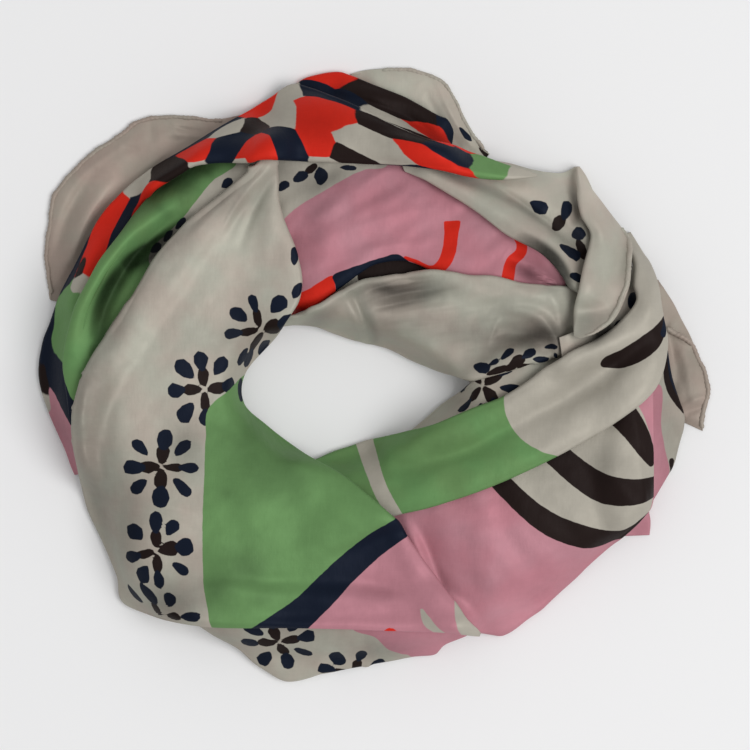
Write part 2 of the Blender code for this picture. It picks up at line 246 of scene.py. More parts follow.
class Surface:
    """A material, with one method that adds nodes of every kind."""

    def __init__(self, name):
        self.material = bpy.data.materials.new(name)
        self.material.use_nodes = True
        self.tree = self.material.node_tree
        self.shader = self.tree.nodes["Principled BSDF"]

    def feed(self, slot, value):
        """Link a socket to a value, or set it."""
        if isinstance(value, Value):
            value = value.socket
        if isinstance(value, bpy.types.NodeSocket):
            self.tree.links.new(value, slot)
        else:
            slot.default_value = value

    def node(self, kind, settings, sockets):
        """A new shader node with its settings made and its input sockets fed."""
        made = self.tree.nodes.new("ShaderNode" + kind)
        for key, value in settings.items():
            setattr(made, key, value)
        for key, value in sockets.items():
            self.feed(made.inputs[key], value)
        return made

    def noise(self, cloth, wide, long, turn=0.0, detail=2.0):
        """Noise from 0 to 1 whose spots are `wide` by `long` millimetres."""
        scale = (1000 / wide, 1000 / long, 1.0)
        turned = self.node("Mapping", {}, {"Vector": cloth, "Rotation": (0, 0, turn),
                                           "Scale": scale})
        made = self.node("TexNoise", {"noise_dimensions": "2D"},
                         {"Vector": turned.outputs[0], "Scale": 1.0, "Detail": detail})
        return Value(self, made.outputs["Fac"])

    def mix(self, share, first, second):
        """First colour where the share is 0, second where it is 1. A Mix node's colours
        are its inputs 6 and 7 and its output 2."""
        made = self.node("Mix", {"data_type": "RGBA"}, {0: share, 6: first, 7: second})
        return made.outputs[2]

    def read(self, name):
        """A number stored for each point of the mesh."""
        made = self.node("Attribute", {"attribute_name": name}, {})
        return Value(self, made.outputs["Fac"])


def silk(name, ground, inks=()):
    """Thin woven silk: the ground drifts a little between a warm and a cool cast, each
    ink covers it where that ink's depth is above zero, slubs run both ways in the
    weave, and the whole colour is darkened by the painted shade stored on the mesh, or
    lightened as a painted highlight where that is below zero."""
    made = Surface(name)
    cloth = made.node("UVMap", {"uv_map": "cloth"}, {}).outputs["UV"]
    cloud = made.noise(cloth, CLOUD_MM, CLOUD_MM)
    wobble = made.noise(cloth, WOBBLE_MM, WOBBLE_MM)
    warp = made.noise(cloth, *THREAD_MM)
    weft = made.noise(cloth, *THREAD_MM[::-1])
    pucker = made.noise(cloth, *PUCKER_MM, turn=PUCKER_TURN, detail=3.0)
    warm = (*np.multiply(ground, WARM_CAST), 1.0)
    cool = (*np.multiply(ground, COOL_CAST), 1.0)
    colour = made.mix((cloud * 3.0 - 1.0).clamped(), warm, cool)
    for ink in inks:
        depth = made.read(ink.name) + (wobble - 0.5) * INK_WOBBLE
        share = (depth * (1 / INK_BLEED) + 0.5).clamped()
        colour = made.mix(share, colour, (*ink.colour, 1.0))
    slubs = warp + weft
    mottle = (slubs - 1.0) * SLUB_TONE + (cloud - 0.5) * CLOUD_TONE
    tone = 1.0 + (mottle + (wobble - 0.5) * WOBBLE_TONE) - made.read("shade")
    toned = made.node("VectorMath", {"operation": "SCALE"}, {0: colour, "Scale": tone})
    made.feed(made.shader.inputs["Base Color"], toned.outputs[0])
    made.feed(made.shader.inputs["Roughness"],
              SILK_ROUGHNESS + (slubs - 1.0) * SLUB_ROUGHNESS)
    made.shader.inputs["Sheen Weight"].default_value = SILK_SHEEN
    made.shader.inputs["Sheen Roughness"].default_value = SHEEN_ROUGHNESS
    made.shader.inputs["Specular IOR Level"].default_value = SILK_SPECULAR
    made.shader.inputs["Metallic"].default_value = SILK_LUSTRE
    bump = made.node("Bump", {}, {"Strength": BUMP_STRENGTH, "Distance": BUMP_HEIGHT,
                                  "Height": slubs * SLUB_RELIEF + pucker * PUCKER_RELIEF})
    made.feed(made.shader.inputs["Normal"], bump.outputs["Normal"])
    return made.material


heap = Heap()
ring_table = np.array([
    Ring(0.0, 54, 146, 23),
    Ring(22.5, 41, 144, 24),
    Ring(45.0, 35, 141, 24),
    Ring(67.5, 33, 121, 22),
    Ring(90.0, 33, 140, 23),
    Ring(112.5, 42, 140, 24),
    Ring(135.0, 58, 142, 25),
    Ring(157.5, 63, 147, 24),
    Ring(180.0, 67, 149, 23),
    Ring(202.5, 58, 138, 23),
    Ring(225.0, 52, 149, 25),
    Ring(247.5, 46, 133, 20),
    Ring(270.0, 39, 125, 19),
    Ring(292.5, 37, 125, 20),
    Ring(315.0, 39, 129, 22),
    Ring(337.5, 43, 145, 23),
], float)


def layered_ring(table, bearings, steps):
    """A ring round the hole. Its sides rise as quarter ellipses, with a bulge for each
    layer that wanders up and down in two sine waves; a parabola crowns the top."""
    rows = len(table)
    wrapped = np.concatenate([table[-2:], table, table[:3]])
    wrapped[:2, 0] -= 360
    wrapped[-3:, 0] += 360
    ring = catmull_rom(wrapped, 2 + np.arange(bearings) * rows / bearings)
    angle = np.radians(ring[:, 0])[:, None]
    share = np.sin(np.linspace(0, np.pi / 2, steps))[None, :]
    inset = 1 - np.sqrt(1 - share ** 2)
    wander = 0.35 * np.sin(2 * angle + 1) + 0.2 * np.sin(5 * angle)
    fold = np.abs(np.sin(np.pi * (LAYERS * share + wander)))
    groove = LAYER_GROOVE * (1 - share ** 3)
    outer = ring[:, 2:3] - OUTER_SHOULDER * inset - groove * (1 - fold)
    lagging = np.roll(fold, LAYER_SHIFT, axis=0)
    inner = ring[:, 1:2] + INNER_SHOULDER * inset + groove * (1 - lagging)
    top = np.linspace(-1, 1, CROWN_STEPS + 2)[None, 1:-1]
    radius = np.hstack([
        outer,
        outer[:, -1:] * (1 - top) / 2 + inner[:, -1:] * (1 + top) / 2,
        inner[:, ::-1],
    ])
    rise = ring[:, 3:4] * share
    crown = ring[:, 3:4] + RING_CROWN * (1 - top ** 2)
    height = np.hstack([rise, crown, rise[:, ::-1]])
    x = RING_CENTRE[0] + radius * np.cos(angle)
    y = RING_CENTRE[1] + radius * np.sin(angle)
    return np.dstack([x, y, height])[:, ::-1]


core = layered_ring(ring_table, 240, 30)
hidden = mesh_from_grid("hidden_layers", core, core[..., :2], closed=True)
write_values(hidden, "shade", np.zeros(core.shape[:2]))
# Brown on the hidden layers in the gap: brown print that also stands in for painted shade
# there.
away_x = (core[..., 0] - BROWN_PRINT_AND_SHADE[0]) / BROWN_STRETCH
brown = BROWN_REACH - np.hypot(away_x, core[..., 1] - BROWN_PRINT_AND_SHADE[1])
write_values(hidden, "brown", brown)
hidden.data.materials.append(silk("hidden_silk", BEIGE, [Ink("brown", BROWN, brown)]))
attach(hidden, "root")
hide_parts("hidden_folds")
heap.add(np.concatenate([core, core[:1]]))


# ---------------------------------------------------------------------------
# Corners of the square that lie flat on the table: single silk with a rolled hem,
# turned and stitched by hand along the edge. The functions that lay and print every other
# stretch of cloth are made here too.
SINGLE_BEIGE = (0.355, 0.30, 0.255)     # darker, warmer beige for the flat corners at left and right, and their hems
EDGE_ROOM = 12          # how far in from a rolled edge the cloth stays raised by it
SHOULDER = 7            # how far in from an edge the lift comes in
TURN_STEPS = 8          # points round a turned edge, and back beneath the cloth
BACK_STEPS = 3
LEAST_ROLL = 0.2        # share of a turned edge, and of its tuck, left at a sheet's ends
LEAST_TUCK = 0.1
WIDEST_ROLL = 0.2       # most that either may be, as a share of the sheet's width
WIDEST_TUCK = 0.35
SWELL_EDGE = 1.3        # above 1, swells reach full height nearer the edges than lift
RIPPLES = 8             # sine waves in one set of ripples
CRUMPLE = (26, 11, 0.06)    # length, width and height of the fine crumples all over
CRUMPLE_HEADINGS = (35, -50)
LINE_FADE = 0.7         # power of the sine by which a crease or lip shadow fades at its ends
DEEPEST_SHADE = 0.9
LIP_EDGE = 0.6          # how sharply the shadow under a fold's lip begins
HEM_RADIUS = 1.2
HEM_PITCH = 2.3         # from one slanting ripple of the hem to the next
HEM_RIPPLE = 0.12       # its share of the radius
HEM_SWELLS = (5.3, 9.0, 17.0)   # lengths over which the hem thickens and thins
HEM_SWELL = 0.06        # share of the radius that each adds
HEM_WANDER = ((0.22, 4.9, 1), (0.16, 1.7, 2))   # height, length over 2 pi, and start
HEM_IN = 0.3            # how far inside and below the edge its middle lies, in radii
HEM_DOWN = 0.45
HEM_CLEAR = 1.35        # lowest middle, so that its thickest ripple just meets the table
HEM_SHADE = 0.06
HEM_STEP = 0.7          # from one ring of points to the next
HEM_SIDES = 12

# A section is where a sheet's two edges lie in plan, how far its whole row is lifted, and
# how far its middle puffs up. Creases and lip shadows run in a line that bows to its left.
# A lip shadow is painted shade beside the lip of a fold; a shade is a soft spot of painted
# shade, or of painted highlight where its depth is below zero.
Section = namedtuple("Section", "left_x left_y right_x right_y lift puff")
Crease = namedtuple("Crease", "x y to_x to_y bow width height")
Shade = namedtuple("Shade", "x y long wide turn depth")
LipShadow = namedtuple("LipShadow", "x y to_x to_y bow wide depth")
Laid = namedtuple("Laid", "grid cloth first last swapped")


def sample(field, x, y):
    """Read a height map between its cells, by the shares of the four around."""
    gx = np.clip(x + MAP_HALF, 0, 2 * MAP_HALF - 1.001)
    gy = np.clip(y + MAP_HALF, 0, 2 * MAP_HALF - 1.001)
    col = gx.astype(int)
    row = gy.astype(int)
    fx = gx - col
    fy = gy - row
    near = field[row, col] * (1 - fx) + field[row, col + 1] * fx
    far = field[row + 1, col] * (1 - fx) + field[row + 1, col + 1] * fx
    return near * (1 - fy) + far * fy


def unit(vectors):
    """Vectors with their directions kept and their lengths made 1."""
    return vectors / np.maximum(np.linalg.norm(vectors, axis=-1, keepdims=True), 1e-9)


def soften(field, passes):
    """Each value moved halfway to the mean of its neighbours, along both directions."""
    for _ in range(passes):
        padded = np.pad(field, ((1, 1), (0, 0)), mode="edge")
        field = (padded[:-2] + 2 * field + padded[2:]) / 4
        padded = np.pad(field, ((0, 0), (1, 1)), mode="edge")
        field = (padded[:, :-2] + 2 * field + padded[:, 2:]) / 4
    return field


def beside(line, x, y):
    """Distance to the left of a bent line, and a fade that is 1 half way along it and 0
    at both ends."""
    run_x = line.to_x - line.x
    run_y = line.to_y - line.y
    length = np.hypot(run_x, run_y)
    along = ((x - line.x) * run_x + (y - line.y) * run_y) / length ** 2
    aside = ((x - line.x) * -run_y + (y - line.y) * run_x) / length
    aside = aside - line.bow * 4 * along * (1 - along)
    return aside, np.sin(np.pi * np.clip(along, 0, 1)) ** LINE_FADE


def relief(creases, x, y):
    """Sum of the creases: each is a bent line with a bell-shaped section; a negative
    height is a trough."""
    total = np.zeros_like(x)
    for crease in creases:
        aside, fade = beside(crease, x, y)
        total += crease.height * fade * np.exp(-(aside / crease.width) ** 2)
    return total


def shading(lip_shadows, shades, x, y):
    """How much darker the cloth's colour is painted: painted shadow beside the lip of a fold,
    sharp at a bent line and dying away to its left as e to minus the cube of the distance
    over the width; and painted shade in soft oval spots, as e to minus the square of the
    distance. Below zero is a painted highlight, lighter."""
    total = np.zeros_like(x)
    for lip in lip_shadows:
        aside, fade = beside(lip, x, y)
        sharp = 1 / (1 + np.exp(-np.clip(aside / LIP_EDGE, -30, 30)))
        total += lip.depth * fade * sharp * np.exp(-(np.maximum(aside, 0) / lip.wide) ** 3)
    for spot in shades:
        along, across = in_oval(spot, (spot.x, spot.y), x, y)
        total += spot.depth * np.exp(-along ** 2 - across ** 2)
    return np.minimum(total, DEEPEST_SHADE)


def in_oval(oval, centre, x, y):
    """Places in a turned oval's own directions, in units of its half sizes."""
    turn = np.radians(oval.turn)
    off_x, off_y = x - centre[0], y - centre[1]
    along = (off_x * np.cos(turn) + off_y * np.sin(turn)) / oval.long
    across = (off_y * np.cos(turn) - off_x * np.sin(turn)) / oval.wide
    return along, across


def ripples(x, y, heading, long, short, height, seed):
    """Sine waves of chance lengths added up, their crests lying close to a heading."""
    draw = np.random.default_rng(seed)
    turn = np.radians(heading)
    along = x * np.cos(turn) + y * np.sin(turn)
    across = -x * np.sin(turn) + y * np.cos(turn)
    total = np.zeros_like(x)
    for _ in range(RIPPLES):
        step = short * draw.uniform(0.6, 1.7)
        drift = long * draw.choice([-1, 1]) * draw.uniform(0.6, 1.7)
        start = draw.uniform(0, 2 * np.pi)
        total += np.sin(2 * np.pi * (across / step + along / drift) + start)
    return total * height / np.sqrt(RIPPLES)


def turned_edge(edge, inside, radius, tuck):
    """Half circle turned under an edge, then a short way back beneath the cloth."""
    out = unit(edge - inside)
    along = unit(np.gradient(edge, axis=0))
    up = unit(np.cross(along, out))
    up = np.where(up[:, 2:3] < 0, -up, up)
    out, up = out[:, None], up[:, None]
    size = radius[:, None, None]
    angle = np.linspace(0, np.pi, TURN_STEPS + 1)[None, 1:, None]
    bend = edge[:, None] + out * size * np.sin(angle) - up * size * (1 - np.cos(angle))
    back = tuck[:, None, None] * np.linspace(0, 1, BACK_STEPS + 1)[None, 1:, None]
    return np.concatenate([bend, bend[:, -1:] - out * back], axis=1)


def spread_sections(table, rows, fade):
    """Smooth curves through a table's columns, read at rows evenly spaced along its
    middle line. With each row comes a share, 0 at either end and 1 past `fade`
    millimetres from there, that eases in and out as 3 s squared less 2 s cubed."""
    values = np.array(table, float)
    middle = (values[:, 0:2] + values[:, 2:4]) / 2
    run = np.concatenate([[0], np.cumsum(np.linalg.norm(np.diff(middle, axis=0), axis=1))])
    reached = np.linspace(0, run[-1], rows)
    section = catmull_rom(values, np.interp(reached, run, np.arange(len(table))))
    share = np.clip(np.minimum(reached, run[-1] - reached) / fade, 0, 1)
    return section, share * share * (3 - 2 * share)


def unrolled(grid, across, centre):
    """Where each point lies on the cloth: at its row's middle point in plan, and from
    there as far along the row as the cloth itself runs."""
    steps = np.linalg.norm(np.diff(grid, axis=1), axis=2)
    reach = np.concatenate([np.zeros((len(grid), 1)), np.cumsum(steps, axis=1)], axis=1)
    reach -= reach[:, centre:centre + 1]
    return grid[:, centre:centre + 1, :2] + across[:, None] * reach[..., None]


def sheet_over(heap, table, rows, columns, roll=(2.0, 2.0), tuck=6.0, reach=5,
               creases=(), swell=(), ease=4, fade=14.0):
    """Cloth through the table's sections: height is the covered heap, plus the room
    that the turned edges need, plus the section's lift and puff, plus the creases.
    Rolls and lift die away over the last `fade` millimetres at either end. Columns lie
    closer together towards the sides."""
    section, ending = spread_sections(table, rows, fade)
    left, right = section[:, 0:2], section[:, 2:4]
    swapped = np.mean(np.cross(np.gradient(left + right, axis=0), right - left)) < 0
    if swapped:
        left, right = right, left
        roll = roll[::-1]
    across = unit(right - left)
    width = np.linalg.norm(right - left, axis=1)
    rolled = LEAST_ROLL + (1 - LEAST_ROLL) * ending
    radius_left = np.minimum(roll[0] * rolled, WIDEST_ROLL * width)
    radius_right = np.minimum(roll[1] * rolled, WIDEST_ROLL * width)
    t = np.linspace(0, 1, columns)
    v = 0.5 * t + 0.25 * (1 - np.cos(np.pi * t))
    span = width - radius_left - radius_right
    from_left = span[:, None] * v
    from_right = span[:, None] * (1 - v)
    plan = left[:, None] + across[:, None] * (radius_left[:, None] + from_left)[..., None]
    x, y = plan[..., 0], plan[..., 1]
    room = 2 * radius_left[:, None] * np.exp(-(from_left / EDGE_ROOM) ** 2)
    room += 2 * radius_right[:, None] * np.exp(-(from_right / EDGE_ROOM) ** 2)
    body = (1 - np.exp(-from_left / SHOULDER)) * (1 - np.exp(-from_right / SHOULDER))
    body *= ending[:, None]
    rise = AIR + room + section[:, 4:5] * body
    rise += section[:, 5:6] * ending[:, None] * 4 * v * (1 - v)
    height = sample(heap.cover(reach), x, y) + rise
    height = soften(height, ease) + relief(creases, x, y)
    for wave in swell:
        height += ripples(x, y, *wave) * np.minimum(1, body * SWELL_EDGE)
    for heading in CRUMPLE_HEADINGS:
        height += ripples(x, y, heading, *CRUMPLE, rows + heading) * np.minimum(1, body)
    floor = sample(heap.spread(1), x, y) + AIR + room
    height = np.maximum(height, soften(floor, 1))
    top = np.dstack([plan, height])
    tucked = LEAST_TUCK + (1 - LEAST_TUCK) * ending
    under = np.minimum(tuck * tucked, WIDEST_TUCK * width)
    turned_left = turned_edge(top[:, 0], top[:, 2], radius_left, under)
    turned_right = turned_edge(top[:, -1], top[:, -3], radius_right, under)
    grid = np.concatenate([turned_left[:, ::-1], top, turned_right], axis=1)
    grid[..., 2] = np.maximum(grid[..., 2], 2 * SILK)
    first = turned_left.shape[1]
    cloth = unrolled(grid, across, first + columns // 2)
    return Laid(grid, cloth, first, first + columns, swapped)


def finish_sheet(name, node, laid, ground=BEIGE, inks=(), shades=(),
                 lip_shadows=()):
    """Give a sheet its silk, its print, its painted shade and its thickness."""
    grid = laid.grid
    piece = mesh_from_grid(name, grid, laid.cloth)
    write_values(piece, "shade", shading(lip_shadows, shades, grid[..., 0], grid[..., 1]))
    for ink in inks:
        write_values(piece, ink.name, ink.depth)
    piece.data.materials.append(silk(name + "_silk", ground, inks))
    wall = piece.modifiers.new("silk", "SOLIDIFY")
    wall.thickness = SILK * 0.001
    wall.offset = -1
    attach(piece, "root")
    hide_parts(node)
    return piece


def rolled_hem(name, node, edge, inside, radius, seed, ground=BEIGE):
    """Tube along an edge, `radius` thick. It swells and shrinks in slow sine waves, a
    small ripple winds round it as a slanting thread does, and its ends close to points
    as circles do."""
    draw = np.random.default_rng(seed)
    run = np.concatenate([[0], np.cumsum(np.linalg.norm(np.diff(edge, axis=0), axis=1))])
    rings = int(run[-1] / HEM_STEP)
    where = np.linspace(0, run[-1], rings)
    path = np.stack([np.interp(where, run, edge[:, axis]) for axis in range(3)], axis=1)
    inner = np.stack([np.interp(where, run, inside[:, axis]) for axis in range(3)], axis=1)
    along = unit(np.gradient(path, axis=0))
    out = unit((path - inner) * (1, 1, 0))
    up = np.array([0.0, 0.0, 1.0])
    size = np.full(rings, 1.0)
    for length in HEM_SWELLS:
        size += HEM_SWELL * np.sin(2 * np.pi * where / length + draw.uniform(0, 6.3))
    close = np.minimum(where, run[-1] - where) / radius
    size *= radius * np.sqrt(np.clip(close * (2 - np.minimum(close, 1)), 0, 1))
    angle = np.linspace(0, 2 * np.pi, HEM_SIDES, endpoint=False)[None, :]
    ripple = 1 + HEM_RIPPLE * np.sin(2 * np.pi * where[:, None] / HEM_PITCH + angle)
    round_it = (size[:, None] * ripple)[..., None]
    wander = sum(high * np.sin(where / long + start * seed)
                 for high, long, start in HEM_WANDER)
    centre = path - out * (HEM_IN * radius - wander[:, None])
    centre[:, 2] = np.maximum(centre[:, 2] - radius * HEM_DOWN, radius * HEM_CLEAR)
    grid = centre[:, None] + round_it * (
        out[:, None] * np.cos(angle)[..., None] + up * np.sin(angle)[..., None])
    if np.mean(np.cross(along[:, :2], out[:, :2])) > 0:
        grid = grid[:, ::-1]
    cloth = np.dstack([where[:, None] + 0 * angle, radius * angle + 0 * where[:, None]])
    piece = mesh_from_grid(name, grid, cloth, closed=True, ends=False)
    write_values(piece, "shade", np.full(grid.shape[:2], HEM_SHADE))
    piece.data.materials.append(silk(name + "_silk", ground))
    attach(piece, "root")
    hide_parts(node)
    return piece


def side_edge(laid, side, start, stop):
    """The outermost upper points of some rows along one side, and points further in."""
    if (side == "left") != laid.swapped:
        edge, inside = laid.first, laid.first + 6
    else:
        edge, inside = laid.last - 1, laid.last - 7
    return laid.grid[start:stop, edge], laid.grid[start:stop, inside]


corner_a = sheet_over(heap, [
    Section(-161, 38, -143, 33, 0, 0),
    Section(-163, 52, -139, 44, 0, 1),
    Section(-164, 64, -136, 55, 1, 2),
    Section(-162, 78, -133, 65, 1, 3),
    Section(-160, 90, -129, 75, 1, 3),
    Section(-154, 99, -124, 82, 1, 3),
    Section(-147, 106, -119, 88, 1, 3),
    Section(-139, 113, -114, 93, 1, 3),
    Section(-127, 121, -107, 99, 1, 3),
    Section(-117, 128, -100, 103, 1, 3),
    Section(-104, 130.5, -89, 108, 0, 2),
    Section(-92, 130, -82, 111, 0, 1),
    Section(-78, 128.5, -72, 114, 0, 1),
    Section(-66, 130.5, -60, 118, 0, 0),
], 150, 44, roll=(0.9, 0.9), tuck=2.5, creases=[
    Crease(-137, 104, -158, 58, -4, 3.2, -2.2),
    Crease(-128, 100, -151, 56, -3.5, 3.2, 1.9),
    Crease(-120, 118, -150, 96, -1, 2.0, 0.7),
    Crease(-111, 127, -110, 116, 0, 2.2, -1.0),
    Crease(-126, 114, -116, 113, 0, 1.8, -0.8),
    Crease(-104, 126, -84, 122, -0.8, 1.2, -0.8),
    Crease(-108, 121, -80, 118, 1.0, 2.0, 0.7),
    Crease(-100, 129, -97, 118, 0, 1.6, 0.6),
], swell=[(50, 60, 22, 0.55, 3)])
hem_a = rolled_hem("upper_left_rolled_hem", "upper_left_hem",
                   *side_edge(corner_a, "left", 4, 140), HEM_RADIUS, 5, SINGLE_BEIGE)
finish_sheet("upper_left_cloth", "upper_left_corner", corner_a,
             SINGLE_BEIGE, shades=[
    Shade(-146, 84, 24, 5, 62, 0.10),
    Shade(-101, 118, 14, 5, 30, -0.10),
    Shade(-155, 62, 26, 8, 75, 0.06),
    Shade(-126, 94, 26, 11, 42, -0.24),
])
heap.add(corner_a.grid)

corner_b = sheet_over(heap, [
    Section(-11, 151, -11, 136, 0, 0),
    Section(-3, 153, -4, 135, 0, 1),
    Section(8, 154, 6, 134, 0, 2),
    Section(21, 153.5, 15, 131, 1, 2),
    Section(33, 149.5, 23, 126, 1, 2),
    Section(37, 146, 27, 122, 1, 2),
    Section(41.5, 139, 31, 118, 1, 2),
    Section(48, 126, 37, 112, 0, 1),
    Section(55, 115, 45, 105, 0, 1),
    Section(58.5, 111, 50, 101, 0, 0),
], 110, 36, roll=(0.9, 0.9), tuck=2.5, creases=[
    Crease(31, 150, 52, 112, -2, 1.6, 0.8),
    Crease(24, 146, 46, 112, -1, 2.0, -0.6),
    Crease(2, 148, 26, 142, 1, 3.0, -0.5),
], swell=[(-40, 50, 20, 0.3, 9)])
hem_b = rolled_hem("top_rolled_hem", "top_hem", *side_edge(corner_b, "left", 20, 104),
                   HEM_RADIUS * 0.9, 6)

Petal = namedtuple("Petal", "x y long wide turn")
Dab = namedtuple("Dab", "x y half")
Flower = namedtuple("Flower", "x y turn")
Patch = namedtuple("Patch", "ink x y long wide turn")

NAVY = (0.006, 0.010, 0.022)
UNPRINTED = -9.0        # depth of ink where there is none
FLOWER_REACH = 26.0     # no petal of a flower lies further out
SNIPS = 9               # straight cuts round one petal
PETAL_DRIFT = 0.09      # how far a petal is turned out of place, in radians
CURVE_STEPS = 8         # from one corner of a smooth outline, or dab of a stroke, to the next
BROWN_PETAL = (6.1, 5.2, 3.0)       # distance from the middle, half length, half width
OUTER_PETAL = (14.0, 5.2, 3.6)
SINGLE_PETAL = (14.6, 5.6, 3.3)


def on_cloth(laid, points):
    """Where points of the plan lie on the cloth: the cloth place of the nearest point
    of the sheet's upper side, plus the distance left over."""
    seen = laid.grid[:, laid.first:laid.last, :2].reshape(-1, 2)
    mapped = laid.cloth[:, laid.first:laid.last].reshape(-1, 2)
    gap = np.array(points, float)[:, None, :2] - seen[None]
    near = np.argmin((gap ** 2).sum(axis=2), axis=1)
    return mapped[near] + gap[np.arange(len(near)), near]


def from_run(px, py, ax, ay, bx, by):
    """Distance of each point from the straight run a to b, and how far along the run,
    from 0 to 1, its nearest place is."""
    run_x, run_y = bx - ax, by - ay
    share = ((px - ax) * run_x + (py - ay) * run_y) / (run_x ** 2 + run_y ** 2 + 1e-9)
    share = np.clip(share, 0, 1)
    return np.hypot(px - ax - share * run_x, py - ay - share * run_y), share


def outline_depth(points, outline):
    """Distance of each point from a closed outline, above zero inside it, where a line
    from the point crosses the outline an odd number of times."""
    px, py = points[..., 0], points[..., 1]
    nearest = np.full(px.shape, np.inf)
    inside = np.zeros(px.shape, bool)
    for (ax, ay), (bx, by) in zip(outline, np.roll(outline, -1, axis=0)):
        nearest = np.minimum(nearest, from_run(px, py, ax, ay, bx, by)[0])
        if ay != by:
            crossing = ax + (py - ay) * (bx - ax) / (by - ay)
            inside ^= ((ay > py) != (by > py)) & (px < crossing)
    return np.where(inside, nearest, -nearest)


def area(laid, corners, steps=CURVE_STEPS):
    """Depth inside a closed outline through corners given in plan: a smooth one, or
    one with straight sides if there is a single step between corners."""
    corners = on_cloth(laid, corners)
    wrapped = np.concatenate([corners[-1:], corners, corners[:2]])
    where = 1 + np.arange(len(corners) * steps) / steps
    return outline_depth(laid.cloth, catmull_rom(wrapped, where))


def stroke(laid, dabs):
    """Depth inside a brush stroke: half its width at the nearest place on its middle
    line, less the distance from there."""
    dabs = np.array(dabs, float)
    line = np.column_stack([on_cloth(laid, dabs), dabs[:, 2]])
    line = catmull_rom(line, np.arange(CURVE_STEPS * (len(line) - 1) + 1) / CURVE_STEPS)
    px, py = laid.cloth[..., 0], laid.cloth[..., 1]
    depth = np.full(px.shape, UNPRINTED)
    for (ax, ay, half), (bx, by, next_half) in zip(line[:-1], line[1:]):
        away, share = from_run(px, py, ax, ay, bx, by)
        depth = np.maximum(depth, half + share * (next_half - half) - away)
    return depth


def cut_petal(points, centre, turn, out, long, wide, draw):
    """Depth inside one petal as if cut by scissors: nine straight snips round an egg
    that is blunter at its far end, each corner a little out of place."""
    angle = np.linspace(0, 2 * np.pi, SNIPS, endpoint=False) + draw.uniform(0, 0.7)
    along = out + long * np.cos(angle) * draw.uniform(0.88, 1.14, SNIPS)
    egg = np.sin(angle) * (1 + 0.25 * np.cos(angle))
    across = wide * egg * draw.uniform(0.85, 1.15, SNIPS)
    x = centre[0] + along * np.cos(turn) - across * np.sin(turn)
    y = centre[1] + along * np.sin(turn) + across * np.cos(turn)
    return outline_depth(points, np.stack([x, y], axis=1))


def petals(laid, table, seed):
    """Depth inside the nearest of the petals set out one by one in plan."""
    draw = np.random.default_rng(seed)
    depth = np.full(laid.cloth.shape[:2], UNPRINTED)
    for petal, centre in zip(table, on_cloth(laid, table)):
        turn = np.radians(petal.turn)
        cut = cut_petal(laid.cloth, centre, turn, 0, petal.long, petal.wide, draw)
        depth = np.maximum(depth, cut)
    return depth


def flowers(laid, table, seed):
    """Navy and brown depths of whole flowers. Round each bare middle stand four long
    petals, a brown piece with a navy piece beyond it, and four navy ones between."""
    draw = np.random.default_rng(seed)
    navy = np.full(laid.cloth.shape[:2], UNPRINTED)
    brown = navy.copy()
    for flower, centre in zip(table, on_cloth(laid, table)):
        near = np.hypot(*np.moveaxis(laid.cloth - centre, 2, 0)) < FLOWER_REACH
        points = laid.cloth[near]
        for step in range(8):
            turn = np.radians(flower.turn + 45 * step) + draw.normal(0, PETAL_DRIFT)
            slim = draw.uniform(0.72, 1.28)
            out, long, wide = SINGLE_PETAL if step % 2 else OUTER_PETAL
            out, long = out * draw.uniform(0.94, 1.04), long * draw.uniform(0.85, 1.12)
            cut = cut_petal(points, centre, turn, out, long, wide * slim, draw)
            navy[near] = np.maximum(navy[near], cut)
            if step % 2 == 0:
                out, long, wide = BROWN_PETAL
                cut = cut_petal(points, centre, turn, out, long, wide * slim, draw)
                brown[near] = np.maximum(brown[near], cut)
    return navy, brown


finish_sheet("top_cloth", "top_corner", corner_b,
             inks=[
    Ink("brown", BROWN, petals(corner_b, [Petal(55.7, 112, 3.4, 1.4, -30)], 11)),
    Ink("navy", NAVY, petals(corner_b, [Petal(46.2, 121, 4.6, 1.6, -50)], 12)),
], shades=[Shade(16, 144, 26, 9, 0, -0.18)])
heap.add(corner_b.grid)

corner_g = sheet_over(heap, [
    Section(138, 50, 143, 48, 0, 0),
    Section(136, 35, 150, 37.5, 0, 1),
    Section(138, 26, 155, 28, 0, 2),
    Section(140, 18, 159.5, 19.5, 1, 2),
    Section(142, 10, 163, 11, 1, 2),
    Section(143, 4, 166.5, 3, 1, 2),
    Section(145, -2, 168.5, -5, 1, 2),
    Section(146, -8, 168.5, -11, 1, 2),
    Section(148, -14, 166.5, -18, 0, 1),
    Section(153, -22, 165, -27.5, 0, 0),
], 110, 40, roll=(0.9, 0.9), tuck=2.5, fade=5, creases=[
    Crease(148, 26, 161, 14, -1, 1.6, 0.9),
    Crease(146, 24, 153, -4, 1, 2.6, -0.9),
    Crease(156, 16, 160, -14, -1, 2.4, 0.6),
    Crease(153, -17, 168, -10, 1, 1.6, 0.8),
    Crease(155, -20, 167, -15, 0.5, 1.3, -0.8),
], swell=[(80, 40, 14, 0.3, 14)])
heap.add(corner_g.grid)

